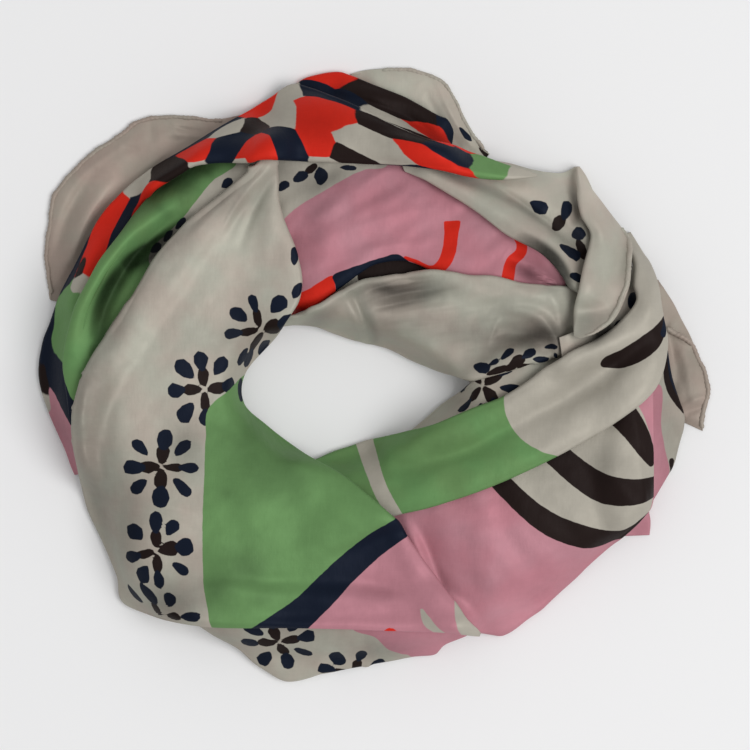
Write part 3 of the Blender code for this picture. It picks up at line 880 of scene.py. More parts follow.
# Its hem comes out from under the ring across the cloth, and then follows the edge.
HEM_OUT = (146.5, 24.0)
HEM_MEETS_EDGE = (159.6, 17.0)
EDGE_FROM = 15.5
LEAD_INSIDE = (-2, -4, 0)       # the way from the hem to the cloth, before it meets the edge
edge, inside = side_edge(corner_g, "right", 0, 108)
along_edge = edge[:, 1] < EDGE_FROM
lead = np.linspace(HEM_OUT, HEM_MEETS_EDGE, 12)
lead_in = np.column_stack([lead, sample(heap.cover(2), *lead.T) + HEM_RADIUS])
hem_g = rolled_hem("right_rolled_hem", "right_hem",
                   np.concatenate([lead_in, edge[along_edge]]),
                   np.concatenate([lead_in + LEAD_INSIDE, inside[along_edge]]),
                   HEM_RADIUS * 1.1, 7, SINGLE_BEIGE)
finish_sheet("right_cloth", "right_corner", corner_g,
             SINGLE_BEIGE,
             shades=[Shade(152, 4, 14, 6, 80, 0.08), Shade(159, 1, 18, 6, 85, 0.18)])

# ---------------------------------------------------------------------------
# Bottom fold: the flowered border and some of the pink field, in one layer of silk. It
# is folded back under the front panel and comes down to the table at the near side.
PINK = (0.47, 0.21, 0.25)

bottom = sheet_over(heap, [
    Section(-97, -106, -103, -121, 0, 0),
    Section(-84, -106, -89, -125, 1, 1),
    Section(-76, -106, -78.5, -132, 1, 2),
    Section(-66, -107, -66.5, -139, 1, 3),
    Section(-56, -108, -57, -146.5, 1, 4),
    Section(-46, -108, -47, -152.5, 2, 4),
    Section(-36, -109, -39, -153.5, 2, 4),
    Section(-25, -109, -26, -150.5, 2, 4),
    Section(-10, -110, -11, -147.5, 2, 4),
    Section(4, -111, 7, -144.5, 2, 4),
    Section(18, -112, 21, -142, 2, 3),
    Section(26, -113, 31.5, -140.5, 2, 2),
    Section(32, -114, 37, -135.5, 1, 1),
    Section(40, -116, 47.5, -130, 1, 0),
], 130, 46, roll=(2.0, 3.0), tuck=5, creases=[
    Crease(-20, -122, -30, -152, 1, 3.5, 0.8),
    Crease(-4, -124, -2, -150, 0, 3.0, -0.7),
    Crease(12, -130, 34, -130, 1, 3.0, 0.7),
], swell=[(80, 60, 24, 0.4, 17)])
navy, brown = flowers(bottom, [Flower(-46.5, -132, 14), Flower(-9.5, -151, -20)], 21)
pink = area(bottom, [(-12, -118), (-9.2, -126), (1.7, -130), (7.7, -136), (14, -138.5),
                     (19.7, -141), (30, -160), (70, -150), (70, -110), (10, -105)])
finish_sheet("bottom_cloth", "bottom_fold", bottom, inks=[
    Ink("pink", PINK, pink), Ink("brown", BROWN, brown), Ink("navy", NAVY, navy)], shades=[
    Shade(-30, -126, 60, 8, -6, 0.16),
    Shade(-36, -138, 30, 12, 0, 0.08),
    Shade(4, -137, 14, 7, -5, 0.28),
    Shade(-74, -130, 16, 8, -30, 0.24),
])
heap.add(bottom.grid)

# ---------------------------------------------------------------------------
# Hole border: a narrow strip of the flowered border, with one whole flower. It comes up
# out of the ring's folds and lies along the hole, under the strap.
edge_low = sheet_over(heap, [
    Section(6, -33, 12, -42, 0, 0),
    Section(16, -27.5, 24, -39, 1, 0),
    Section(23, -22, 32, -34, 1, 1),
    Section(32, -14, 46, -28, 1, 1),
    Section(39, -9, 60, -21, 1, 1),
    Section(47.5, -3.5, 75, -13, 1, 1),
    Section(64, 7, 88, -4, 1, 1),
    Section(81, 15, 101, 6, 1, 0),
], 90, 34, roll=(2.2, 1.0), tuck=5)
navy, brown = flowers(edge_low, [Flower(54.5, -4.5, 35)], 23)
finish_sheet("hole_border_cloth", "hole_border", edge_low,
             inks=[Ink("brown", BROWN, brown), Ink("navy", NAVY, navy)],
             shades=[Shade(70, 2, 16, 6, 30, 0.10)])
heap.add(edge_low.grid)

# ---------------------------------------------------------------------------
# Right roll: the outer side of the ring, where a layer of silk rolls down to the table.
# It starts under the strap and runs in beneath the striped panel.
roll_right = sheet_over(heap, [
    Section(145, 32, 131, 30, 1, 0),
    Section(148, 15.5, 131, 13, 2, 1),
    Section(150, 3, 130, 4, 3, 1),
    Section(152, -4.5, 129, -4, 3, 1),
    Section(156.5, -18.5, 127, -14, 3, 2),
    Section(156.5, -25, 126, -22, 3, 2),
    Section(154.5, -34.5, 123, -32, 3, 2),
    Section(152, -44.5, 121, -41, 3, 2),
    Section(148.5, -51.5, 119, -48, 3, 2),
    Section(144.5, -59, 118, -54, 3, 2),
    Section(140.5, -66, 118, -62, 2, 1),
    Section(139.5, -72, 119, -69, 2, 1),
    Section(138.5, -79.5, 126, -80, 1, 0),
], 120, 40, roll=(3.0, 1.0), tuck=6)
brown = np.maximum(
    stroke(roll_right, [Dab(146.2, 12, 1.2), Dab(147.6, 0, 3.9), Dab(151.2, -9.5, 3.6),
                        Dab(155.6, -18, 1.0)]),
    stroke(roll_right, [Dab(149.2, -42.5, 1.7), Dab(149.9, -48, 0.8)]))
navy = stroke(roll_right, [Dab(147.8, 12, 1.2), Dab(149.8, 1, 2.6), Dab(153.0, -8, 1.9)])
pink = area(roll_right, [(142, -4), (143.2, -23), (144.7, -32), (147.2, -42), (148.7, -49),
                         (151, -60), (150, -100), (110, -95), (110, -10)])
finish_sheet("right_roll_cloth", "right_roll", roll_right,
             inks=[Ink("pink", PINK, pink), Ink("brown", BROWN, brown),
                   Ink("navy", NAVY, navy)], shades=[Shade(148, -24, 44, 12, -80, 0.24)])
heap.add(roll_right.grid)

# ---------------------------------------------------------------------------
# Pink sweep: the middle of the square, smooth inside the top of the ring, with two
# red brush strokes. Its lower edge runs into the mosaic part of the print.
RED = (0.60, 0.022, 0.011)

sweep = sheet_over(heap, [
    Section(-62, 104, -58, 23, 0, 0),
    Section(-48, 111, -51, 24, 1, 0),
    Section(-36, 114, -41.5, 27.5, 1, 1),
    Section(-26, 115, -34, 31, 1, 2),
    Section(-16, 115, -26.5, 35, 1, 3),
    Section(4, 113, -14, 44, 1, 3),
    Section(12, 110, -6, 50, 1, 3),
    Section(22, 106, 3, 55, 1, 3),
    Section(39, 97, 18, 56, 1, 3),
    Section(56, 86, 34, 49, 1, 3),
    Section(72, 75, 59, 43, 1, 3),
    Section(88, 65, 79, 41, 1, 2),
    Section(97, 55, 95, 40, 0, 0),
], 160, 80, roll=(1.5, 2.2), tuck=5, creases=[
    Crease(-34, 62, 34, 84, 3, 3.0, 0.7),
    Crease(-32, 68, 20, 96, 2, 3.5, -0.7),
    Crease(-30, 54, 30, 66, 3, 2.5, 0.5),
    Crease(-30, 76, 10, 104, 1, 3.0, 0.6),
    Crease(70, 72, 96, 44, 3, 4.0, 3.2),
    Crease(66, 60, 92, 42, 2, 5.0, -3.4),
], swell=[(25, 70, 16, 0.3, 31), (60, 40, 12, 0.12, 32)])
squared = area(sweep, [(25, 76.2), (55, 77.4), (60, 40), (5, 40)], steps=1)
red = np.maximum(
    np.minimum(squared, stroke(sweep, [
        Dab(39.6, 80, 4.6), Dab(38.9, 70, 3.5), Dab(37.6, 61, 3.4), Dab(34.2, 54.6, 3.0),
        Dab(28.6, 52.8, 1.9), Dab(21, 56.5, 1.3), Dab(13.5, 59.5, 0.7)])),
    stroke(sweep, [Dab(69.5, 70.5, 1.5), Dab(73.5, 66, 2.7), Dab(73.2, 61, 2.7),
                   Dab(68.8, 56.5, 2.8), Dab(67.2, 51, 3.0), Dab(66.5, 44, 3.0)]))
red = np.maximum(red, area(sweep, [
    (-35, 41.5), (-27, 46), (-19.8, 49.7), (-18.4, 45), (-18, 38), (-20, 26), (-60, 10),
    (-60, 34)]))
navy = area(sweep, [(-19.6, 49.8), (-12, 53), (-4.4, 55.6), (4, 58.3), (13, 60), (18, 52),
                    (0, 36), (-16, 26), (-18, 38), (-18.4, 45)])
brown = petals(sweep, [Petal(-30.4, 102.6, 3.8, 2.1, 35)], 33)
navy = np.maximum(navy, petals(sweep, [
    Petal(-44.3, 94, 3.4, 2.3, 25), Petal(-35.7, 98.5, 4.2, 2.6, 32),
    Petal(-25.3, 98.6, 4.5, 3.4, 85), Petal(-12, 103, 4.6, 1.3, -6)], 34))
beige = area(sweep, [(-60, 60), (-42.5, 79), (-31, 87.5), (-13.8, 97.5), (-4.2, 102),
                     (8, 106), (0, 135), (-80, 135), (-90, 80)])
finish_sheet("pink_cloth", "pink_sweep", sweep, PINK, inks=[
    Ink("beige", BEIGE, beige), Ink("red", RED, red), Ink("brown", BROWN, brown),
    Ink("navy", NAVY, navy)], shades=[
    Shade(-32, 66, 26, 8, 75, 0.26),
    Shade(4, 92, 36, 10, 22, 0.14),
    Shade(-22, 97, 18, 7, 20, 0.42),
    Shade(-44, 101, 10, 6, 30, 0.28),
    Shade(36, 94, 24, 4, -24, 0.18),
    Shade(78, 50, 9, 4.8, -35, 0.58),
    Shade(88.5, 55, 10, 3.2, -40, -0.26),
])
heap.add(sweep.grid)

# ---------------------------------------------------------------------------
# Inner border: a loose, full fold of silk that puffs up along the upper side of the
# hole. It lies on the pink sweep, and the wrap holds its right end down in a valley.
inner = sheet_over(heap, [
    Section(-44, 30, -46, 24, 0, 0),
    Section(-37, 30, -36, 24, 1, 0),
    Section(-30, 33.5, -28, 22.5, 1, 0),
    Section(-19, 40, -18, 19, 1, 1),
    Section(-7, 46.5, -8, 15.5, 1, 2),
    Section(3, 49, 7, 12, 1, 3),
    Section(16, 50, 16, 7.5, 1, 3),
    Section(27, 51.5, 25.5, 3, 1, 3),
    Section(38, 52, 36, -1, 1, 3),
    Section(48, 50, 47, -2.5, 1, 3),
    Section(61, 49.5, 57, -1, 1, 3),
    Section(73, 47, 71, 2, 3, 4),
    Section(84, 46, 81, 6, 4, 4),
    Section(94, 45, 91.5, 9, 3, 3),
    Section(107, 43, 103, 12, 0, 0),
], 160, 60, roll=(1.8, 2.4), tuck=2.5, creases=[
    Crease(-11, 42, 0, 10, 1.5, 1.7, -2.2),
    Crease(-15, 42, -5, 12, 1.5, 2.2, 1.3),
    Crease(-4, 42, 36, 48.5, 1, 1.7, -2.0),
    Crease(-2, 37, 38, 43.5, 1, 1.5, 1.6),
    Crease(0, 33, 36, 39, 1, 1.5, -1.4),
    Crease(-2, 28, 46, 35, 1, 1.8, 1.1),
    Crease(4, 24, 40, 27, 1, 2.2, -0.9),
    Crease(6, 12, 34, 12, 1, 2.4, 0.8),
    Crease(40, 46, 78, 38, 1, 3.0, -0.8),
    Crease(58, 32, 93, 8, 11, 3.2, 3.4),
    Crease(60, 22, 90, 10, 4, 6.5, -6.5),
    Crease(86, 44, 94, 16, 2, 2.4, 1.4),
], swell=[(8, 70, 11, 0.4, 41), (60, 30, 14, 0.15, 42), (9, 46, 4.2, 0.10, 45)])
navy = petals(inner, [
    Petal(66.4, 11, 4.2, 2.2, 42), Petal(77.2, 11.2, 4.8, 2.2, 45),
    Petal(88, 14.6, 3.6, 1.5, 10), Petal(83, 8, 4.6, 1.7, 12),
    Petal(53.8, 4.2, 4.4, 2.8, -25), Petal(79, 2.2, 4.5, 1.8, 20),
    Petal(90.4, 9.3, 2.5, 1.0, 90), Petal(60, 6.8, 2.6, 1.5, 20)], 43)
brown = petals(inner, [Petal(71, 7.2, 5.2, 2.6, 35), Petal(75.5, 4.6, 5.2, 1.9, 15),
                       Petal(62, 2.6, 5.6, 2.2, 4), Petal(68.6, 3.6, 3.2, 1.6, 25)], 44)
finish_sheet("inner_border_cloth", "inner_border", inner,
             inks=[
    Ink("brown", BROWN, brown), Ink("navy", NAVY, navy)], shades=[
    Shade(-6, 27, 15, 2.4, -71, 0.12),
    Shade(4, 42.5, 22, 5.5, -3, 0.40),
    Shade(5, 44, 8, 3.0, -20, 0.22),
    Shade(24, 42.5, 13, 4.5, 8, 0.24),
    Shade(24, 28, 14, 5, 8, 0.13),
    Shade(54, 38, 14, 6, 0, -0.12),
    Shade(16, 34.5, 14, 1.6, 10, 0.18),
    Shade(-26, 29, 12, 5, 35, 0.34),
    Shade(38, 38, 10, 2.5, -85, -0.05),
    Shade(82, 20, 11, 7.0, 22, 0.58),
    Shade(68, 18, 13, 7, 12, 0.26),
    Shade(44, 6, 34, 4, -8, 0.12),
    Shade(50, 20, 24, 8, -4, 0.30),
    Shade(4, 26, 14, 12, -10, 0.22),
    Shade(24, 44, 24, 4, 2, 0.16),
    Shade(56, 8, 8, 6, 0, 0.16),
    Shade(62, 30, 20, 8, 0, 0.12),
    Shade(93, 19, 8, 7, 0, 0.40),
    Shade(30, 9, 12, 4, -20, -0.10),
], lip_shadows=[
    LipShadow(-5, 33.2, 40, 39.5, -0.8, 4.2, 0.30),
    LipShadow(-9, 42, 1.5, 13, 1.5, 3.4, 0.26),
    LipShadow(20, 37, 44, 43.5, 0.6, 2.4, 0.14),
])
heap.add(inner.grid)

# ---------------------------------------------------------------------------
# Top border: a long rolled fold of flowered border, from the top down to the right. Its
# lip hangs over the pink sweep, and the band and the wrap hold its two ends.
border = sheet_over(heap, [
    Section(12, 110, 16, 101, 0, 0),
    Section(24, 110, 24, 97, 1, 0),
    Section(35, 110, 33.5, 91.5, 2, 0),
    Section(52, 109, 49, 81.5, 3, 0),
    Section(66, 108, 65.5, 69, 3, 1),
    Section(81, 104, 82.5, 59.5, 3, 1),
    Section(94, 102.5, 92.5, 49.5, 3, 1),
    Section(104, 104, 98, 44, 2, 1),
    Section(112, 90, 105, 40, 1, 1),
    Section(118, 80, 112, 38, 0, 0),
], 130, 64, roll=(1.5, 2.2), tuck=5, creases=[
    Crease(22, 103, 100, 55, 3, 5.0, 2.2),
    Crease(46, 101, 104, 58, 4, 2.2, -2.4),
    Crease(84, 82, 108, 56, 2, 4.0, -2.0),
    Crease(60, 104, 92, 82, 2, 4.0, 0.8),
    Crease(102, 104, 102, 74, 0, 2.0, -2.2),
    Crease(96, 102, 97, 72, 0, 2.6, 1.0),
], swell=[(-30, 60, 18, 0.3, 51)])
navy = petals(border, [
    Petal(82.3, 83.8, 4.6, 3.7, -30), Petal(95.9, 82, 5.6, 2.8, 75),
    Petal(102, 70.5, 3.8, 3.3, 20), Petal(97.6, 61.6, 5.4, 4.6, -12),
    Petal(100.6, 48.5, 3.6, 2.8, 0)], 52)
brown = petals(border, [Petal(92, 75.6, 4.8, 3.0, 55), Petal(103.5, 62.5, 5.4, 2.6, -70)],
               53)
finish_sheet("top_border_cloth", "top_border", border, inks=[
    Ink("brown", BROWN, brown), Ink("navy", NAVY, navy)], shades=[
    Shade(96, 70, 12, 5, -60, 0.14),
    Shade(102, 66, 12, 4, -80, 0.40),
    Shade(68, 94.5, 18, 6, -10, -0.26),
    Shade(74, 84, 20, 4, -38, 0.10),
    Shade(97, 99, 12, 7, -20, -0.34),
    Shade(73, 90, 12, 5, -15, -0.12),
], lip_shadows=[
    LipShadow(101, 36, 73, 71.5, -7.6, 15, 1.0),
    LipShadow(24, 100, 99, 63, 5.6, 4.5, 0.30),
    LipShadow(102.6, 74, 102, 106, 0, 4.5, 0.42),
])
heap.add(border.grid)

# ---------------------------------------------------------------------------
# Striped panel: pink silk with a fan of dark and pale arcs. It lies on the right roll,
# turns under at the ring's right, and goes in beneath the strap and the front panel.
striped = sheet_over(heap, [
    Section(-4, -60, 27, -118, 0, 0),
    Section(6, -57, 36, -121.5, 1, 1),
    Section(15, -54, 49, -128, 1, 3),
    Section(28, -50, 60, -130.5, 2, 4),
    Section(45, -46, 68, -129.5, 2, 5),
    Section(64, -37, 82, -119.5, 2, 5),
    Section(79, -30, 99, -105.5, 2, 4),
    Section(93, -23, 114, -92, 2, 3),
    Section(113, -12, 129, -79, 2, 3),
    Section(129, 0, 137.5, -69, 2, 2),
    Section(139, 7, 139.5, -62, 1, 0),
], 150, 84, roll=(1.2, 3.0), tuck=6, creases=[
    Crease(40, -62, 70, -122, -3, 7.0, 1.8),
    Crease(24, -66, 54, -124, -4, 6.0, -1.8),
    Crease(60, -58, 88, -112, -2, 7.0, -1.0),
    Crease(22, -72, 38, -112, 0, 2.4, -1.2),
    Crease(14, -66, 32, -112, 0, 3.0, 1.2),
], swell=[(-60, 70, 22, 0.5, 61)])
beige = area(striped, [(58, -46), (76.8, -65.5), (89.8, -74.5), (107.8, -80.5),
                       (121.2, -79.5), (130, -75), (137, -68), (139.4, -56), (139.3, -37),
                       (135.6, -23.5), (131, -14), (120, 0), (80, -15)])
brown = np.maximum(
    stroke(striped, [Dab(55, -44, 4.6), Dab(61, -50, 4.8), Dab(76.5, -65.2, 5.2),
                     Dab(90, -74.5, 5.8), Dab(107.8, -80.6, 6.0), Dab(121, -79.3, 4.5),
                     Dab(130, -75, 2.4), Dab(137, -68, 0.4)]),
    stroke(striped, [Dab(86, -34, 6), Dab(92.2, -40, 6.2), Dab(103.8, -49.5, 6.7),
                     Dab(115.2, -56, 7.2), Dab(127.8, -57.5, 6.6), Dab(139.2, -55, 5.2),
                     Dab(150, -50, 4)]))
brown = np.maximum(brown, stroke(striped, [
    Dab(117, -11, 7), Dab(122.8, -18, 7.2), Dab(129.8, -27, 6.2), Dab(134.8, -36, 4.4),
    Dab(137.9, -43.5, 1.5)]))
finish_sheet("striped_cloth", "striped_panel", striped,
             PINK,
             inks=[Ink("beige", BEIGE, beige), Ink("brown", BROWN, brown)], shades=[
    Shade(62, -98, 12, 7, -60, 0.14),
    Shade(48, -84, 12, 7, -65, 0.12),
    Shade(36, -112, 10, 5, -60, 0.10),
    Shade(34, -76, 10, 5, -40, 0.08),
    Shade(94, -56, 24, 12, -35, 0.12),
    Shade(69, -117, 14, 8, -20, -0.17),
    Shade(114, -42, 22, 8, -20, 0.22),
])
heap.add(striped.grid)

# ---------------------------------------------------------------------------
# Under border: a short stretch of printed border, deep in the groove between the strap
# and the wrap, so that little light reaches it; its colour is darkened by painted shade too.
glimpse = sheet_over(heap, [
    Section(126, 58, 140, 45, 0, 0),
    Section(121, 42, 136, 32, 1, 0),
    Section(113, 30, 126, 19, 1, 0),
    Section(102, 23, 111, 12, 1, 0),
    Section(92, 19, 94, 6, 0, 0),
], 60, 24, roll=(1.5, 1.0), tuck=3)
navy = petals(glimpse, [Petal(128.6, 37.4, 4.2, 2.4, 75), Petal(121.8, 25.6, 2.8, 1.6, 30)],
              66)
finish_sheet("under_border_cloth", "under_border", glimpse,
             inks=[Ink("navy", NAVY, navy)],
             shades=[Shade(123, 28, 22, 10, 50, 0.42), Shade(113.5, 22.5, 7, 4, 42, 0.8)])
heap.add(glimpse.grid)

# ---------------------------------------------------------------------------
# Strap: the green field and its beige edge, one flat fold of silk. It is pulled across
# from the right along the hole and held under the front panel.
GREEN = (0.130, 0.255, 0.095)

strap = sheet_over(heap, [
    Section(126, 71, 129, 72, 0, 0),
    Section(128, 64, 135.5, 62, 1, 0),
    Section(130, 57, 140.5, 55, 1, 1),
    Section(129, 46.5, 144, 44, 2, 1),
    Section(129.5, 37.5, 145.5, 30, 2, 1),
    Section(121.5, 27.5, 147.5, 15, 2, 2),
    Section(111, 19.5, 144, -1, 3, 2),
    Section(97, 12, 136, -12, 3, 2),
    Section(85, 3.5, 118, -25, 3, 2),
    Section(65, -9, 98, -37, 3, 2),
    Section(49, -15, 78, -47, 3, 2),
    Section(31, -22, 52, -58, 3, 2),
    Section(16, -25.5, 29, -65.5, 3, 2),
    Section(1, -29.5, 15, -69, 3, 2),
    Section(-11, -34, 2, -73, 2, 2),
    Section(-21, -37.4, -11, -78, 2, 1),
    Section(-40, -45, -30, -84, 0, 0),
], 200, 54, roll=(2.4, 2.0), tuck=6, fade=22, creases=[
    Crease(20, -38, 96, 4, 3, 6.0, 0.8),
    Crease(10, -52, 70, -34, 3, 5.0, -0.6),
    Crease(104, 8, 142, 22, 3, 5.0, 0.7),
], swell=[(28, 80, 20, 0.3, 71)])
beige = np.maximum(
    area(strap, [(64.8, -9), (66.2, -20), (72.8, -30.5), (82.8, -37), (89.8, -39),
                 (105, -42), (160, -20), (170, 60), (130, 100), (90, 40), (66, 8)]),
    stroke(strap, [Dab(-5, -28, 4.4), Dab(-3.6, -34, 4.4), Dab(2.2, -52, 3.7),
                   Dab(6.8, -61.5, 3.6), Dab(11.8, -69, 2.9), Dab(16, -76, 2.5)]))
brown = stroke(strap, [Dab(115.5, 7.2, 3.4), Dab(124.8, 9, 5.0), Dab(133.5, 13.8, 5.2),
                       Dab(141, 20.5, 4.0), Dab(145.6, 29, 1.0)])
navy = stroke(strap, [Dab(143.8, 21, 1.9), Dab(146.4, 30, 1.0)])
finish_sheet("strap_cloth", "green_strap", strap,
             GREEN, inks=[
    Ink("beige", BEIGE, beige), Ink("brown", BROWN, brown), Ink("navy", NAVY, navy)],
    shades=[
    Shade(104, -8, 24, 9, 28, 0.15),
    Shade(113.5, 21.5, 10, 3.4, 42, 0.74),
    Shade(135, 44, 16, 5, 80, 0.10),
    Shade(40, -30, 26, 6, 30, 0.10),
    Shade(24, -50, 14, 6, 40, 0.07),
])
heap.add(strap.grid)

# ---------------------------------------------------------------------------
# Wrap: the loose end of the square, wound once over the strap's upper end and tucked in.
# Its hand-rolled hem lies outwards, along the groove.
wrap = sheet_over(heap, [
    Section(102, 104.5, 103.5, 104.5, 0, 0),
    Section(102, 96, 108.5, 95, 1, 0),
    Section(102, 88, 114.5, 87, 2, 0),
    Section(103, 79, 120, 80, 2, 1),
    Section(107, 71, 125, 74, 2, 1),
    Section(107, 66, 129, 66.5, 2, 1),
    Section(105, 57, 128, 56, 2, 1),
    Section(102, 46, 126.5, 43.5, 2, 1),
    Section(100, 36, 120, 29.5, 2, 0),
    Section(99, 25, 111, 21.8, 1, 0),
    Section(99, 19.5, 102, 18.5, 0, 0),
], 120, 36, roll=(1.8, 1.0), tuck=4, creases=[
    Crease(104, 98, 116, 50, 3, 3.5, 0.9),
    Crease(108, 92, 122, 60, 2, 2.5, -0.8),
    Crease(106, 40, 118, 34, 1, 2.0, 0.5),
], swell=[(70, 40, 14, 0.25, 81)])
hem_wrap = rolled_hem("wrap_rolled_hem", "wrap_hem", *side_edge(wrap, "right", 44, 116),
                      HEM_RADIUS * 1.05, 8)
finish_sheet("wrap_cloth", "knot_wrap", wrap,
             shades=[
    Shade(112, 70, 16, 4, -70, 0.05),
    Shade(106, 26, 10, 6, 45, 0.32),
    Shade(107, 94, 14, 6, -70, -0.26),
])
heap.add(wrap.grid)

# ---------------------------------------------------------------------------
# Mosaic crown and band: the busiest part of the print, rounded patches of red, navy,
# brown and beige that fit together like cobbles. The print runs on from fold to fold.
MOSAIC = [
    Patch("red", -59, 134, 12, 5.4, 28),
    Patch("beige", -40.5, 141.5, 8, 4.8, 30),
    Patch("beige", -44.8, 129.5, 8.6, 7.2, 0),
    Patch("brown", -50, 145.5, 9, 2.6, 33),
    Patch("navy", -29, 143.5, 8.5, 5.2, -8),
    Patch("navy", -15, 138, 10, 3.4, -27),
    Patch("red", -24.5, 129.5, 17, 9.5, -12),
    Patch("red", -27, 115, 9, 8, 0),
    Patch("red", -21, 149, 19, 5.0, -3),
    Patch("brown", 10, 137.5, 27, 6.4, -25),
    Patch("beige", 6, 129, 16, 2.6, -25),
    Patch("red", 28, 122, 12, 4, -28),
    Patch("navy", 37.5, 124, 9, 3.2, -55),
    Patch("navy", -41.8, 114, 11, 8.4, -20),
    Patch("red", -56.8, 114.2, 9.5, 8.6, 0),
    Patch("navy", -72.8, 113, 11, 6.8, 12),
    Patch("brown", -58.2, 124, 6, 5.4, 60),
    Patch("beige", -70.2, 123.5, 8, 3.6, 25),
    Patch("beige", -64, 106, 3, 2.2, 0),
    Patch("beige", -25, 105.5, 8, 2.8, -12),
    Patch("brown", -9.5, 107.5, 13.5, 4.4, -25),
    Patch("beige", -1.8, 113.5, 21, 6.8, -28),
    Patch("brown", 10, 121.3, 19, 4.2, -20),
    Patch("red", 28, 107.5, 17, 5.4, -22),
    Patch("navy", 14, 101.5, 11, 1.8, -6),
    Patch("red", 46, 114, 19, 2.4, -14),
    Patch("navy", 39.5, 109, 14.5, 4.8, -18),
    Patch("green", 60.5, 103.5, 12, 6.6, -14),
    Patch("beige", 75, 99.5, 15, 7, -14),
    Patch("navy", -80, 122.5, 13, 2.4, 33),
    Patch("red", -86.2, 111.5, 11, 6.8, 25),
    Patch("beige", -88, 104.5, 5, 1.6, 15),
    Patch("brown", -101.8, 103, 10.5, 7.6, 30),
    Patch("beige", -115.8, 95.5, 10, 6.4, 42),
    Patch("red", -133.5, 71.5, 26, 6.8, 62),
    Patch("navy", -124.5, 76.5, 15, 4.4, 62),
    Patch("red", -114, 84.5, 12, 4.0, 50),
    Patch("navy", -148.2, 57, 15, 4.2, 66),
    Patch("brown", -143.4, 55.5, 7, 3.0, 70),
    Patch("beige", -146.8, 46, 6.5, 3.2, 45),
    Patch("green", -153.5, 26, 19, 7.5, 80),
    Patch("navy", -155.5, -3, 21, 6.6, -62),
    Patch("pink", -152.5, -30, 19, 7.5, -62),
    Patch("navy", -163.5, 15, 9, 1.9, 76),
    Patch("brown", -165.5, 0, 9, 1.9, 92),
    Patch("beige", -163, -13, 7, 2.0, -68),
]
MOSAIC_INKS = {"beige": BEIGE, "brown": BROWN, "navy": NAVY, "green": GREEN, "pink": PINK}
COBBLE = 2.6            # power that squares a patch off: 2 gives an ellipse


def mosaic(laid, table):
    """Share the cloth out among the patches: a point belongs to the patch it lies
    deepest in, where depth is the patch's half width times one less the distance from
    its middle in units of its rounded oval. An ink's depth is half of what its own
    patches are ahead of all the others, and a little more, so that no ground shows
    between two inks. Red has no ink, as it is the ground itself."""
    px, py = laid.cloth[..., 0], laid.cloth[..., 1]
    ahead = {name: np.full(px.shape, -np.inf) for name in (*MOSAIC_INKS, "red")}
    for patch, centre in zip(table, on_cloth(laid, [row[1:3] for row in table])):
        along, across = np.abs(in_oval(patch, centre, px, py))
        away = (along ** COBBLE + across ** COBBLE) ** (1 / COBBLE)
        ahead[patch.ink] = np.maximum(ahead[patch.ink], patch.wide * (1 - away))
    inks = []
    for name, colour in MOSAIC_INKS.items():
        others = np.max([ahead[other] for other in ahead if other != name], axis=0)
        inks.append(Ink(name, colour, (ahead[name] - others) / 2 + INK_BLEED))
    return inks


crown = sheet_over(heap, [
    Section(-45, 142, -41, 121, 0, 0),
    Section(-39, 146, -34, 121, 1, 0),
    Section(-32, 150, -27, 120, 2, 1),
    Section(-19, 152.5, -17, 118, 2, 1),
    Section(-11, 151, -8, 117, 2, 1),
    Section(-3, 148, 0, 115, 2, 1),
    Section(14, 141, 13, 111, 2, 1),
    Section(24, 135.5, 21, 109, 2, 1),
    Section(33, 130.5, 28, 107, 2, 1),
    Section(38, 128, 33, 106, 1, 0),
    Section(40.5, 122.5, 37, 106, 1, 0),
    Section(40, 117, 38, 108, 0, 0),
], 120, 44, roll=(2.2, 1.5), tuck=5, fade=8, creases=[
    Crease(-20, 140, 34, 118, 3, 2.2, -1.6),
    Crease(-16, 146, 30, 130, 2, 3.5, 0.8),
])
finish_sheet("crown_cloth", "mosaic_crown", crown,
             RED, inks=mosaic(crown, MOSAIC), shades=[
    Shade(27, 121.5, 14, 4.6, -30, 0.34),
    Shade(34, 115, 8, 4, -45, 0.24),
])
heap.add(crown.grid)

BAND = [
    Section(82, 100, 81.5, 99, 0, 0),
    Section(75, 103, 73.5, 97.5, 0, 0),
    Section(69, 105, 66, 97, 1, 0),
    Section(59, 109, 57, 98, 1, 0),
    Section(50, 112.5, 48, 99, 2, 0),
    Section(41, 116, 38, 99.5, 2, 0),
    Section(27, 119, 25, 101, 2, 1),
    Section(8, 127, 6, 103, 2, 1),
    Section(-2, 132.5, -5, 104, 2, 1),
    Section(-11, 137, -15, 104.5, 2, 2),
    Section(-20, 141, -26, 105, 2, 2),
    Section(-30, 145, -36, 105.5, 2, 2),
    Section(-41, 146.5, -46, 106, 2, 2),
    Section(-53, 139, -58, 106, 2, 2),
    Section(-71, 128.5, -80, 104.5, 2, 2),
    Section(-91, 116.5, -93, 101.5, 2, 1),
    Section(-110, 105.5, -107.5, 93.5, 2, 1),
    Section(-123.5, 94.5, -115.5, 82.5, 2, 1),
    Section(-138, 77, -124, 66, 2, 1),
    Section(-150, 56, -132, 46, 3, 1),
    Section(-158, 41, -137, 33, 3, 1),
    Section(-162.5, 26.5, -139, 22, 3, 1),
    Section(-166, 16, -140, 11, 3, 1),
    Section(-167.5, 0, -141, -5, 2, 1),
    Section(-163.5, -17, -140, -20, 2, 1),
    Section(-155, -37, -137, -36, 1, 0),
    Section(-149, -49.5, -132, -47, 0, 0),
]
BAND_FORM = dict(rows=280, columns=44, roll=(2.6, 2.4), tuck=6, ease=7, creases=[
    Crease(-20, 128, 40, 108, 2, 5.0, 0.8),
    Crease(-8, 124, 26, 116, 1, 2.0, -0.8),
    Crease(-70, 116, -18, 122, 3, 6.0, 0.8),
    Crease(-128, 88, -150, 54, -2, 3.5, 0.9),
])
CROSSING = 91.5         # beyond here the band lies over the ridge and the front panel

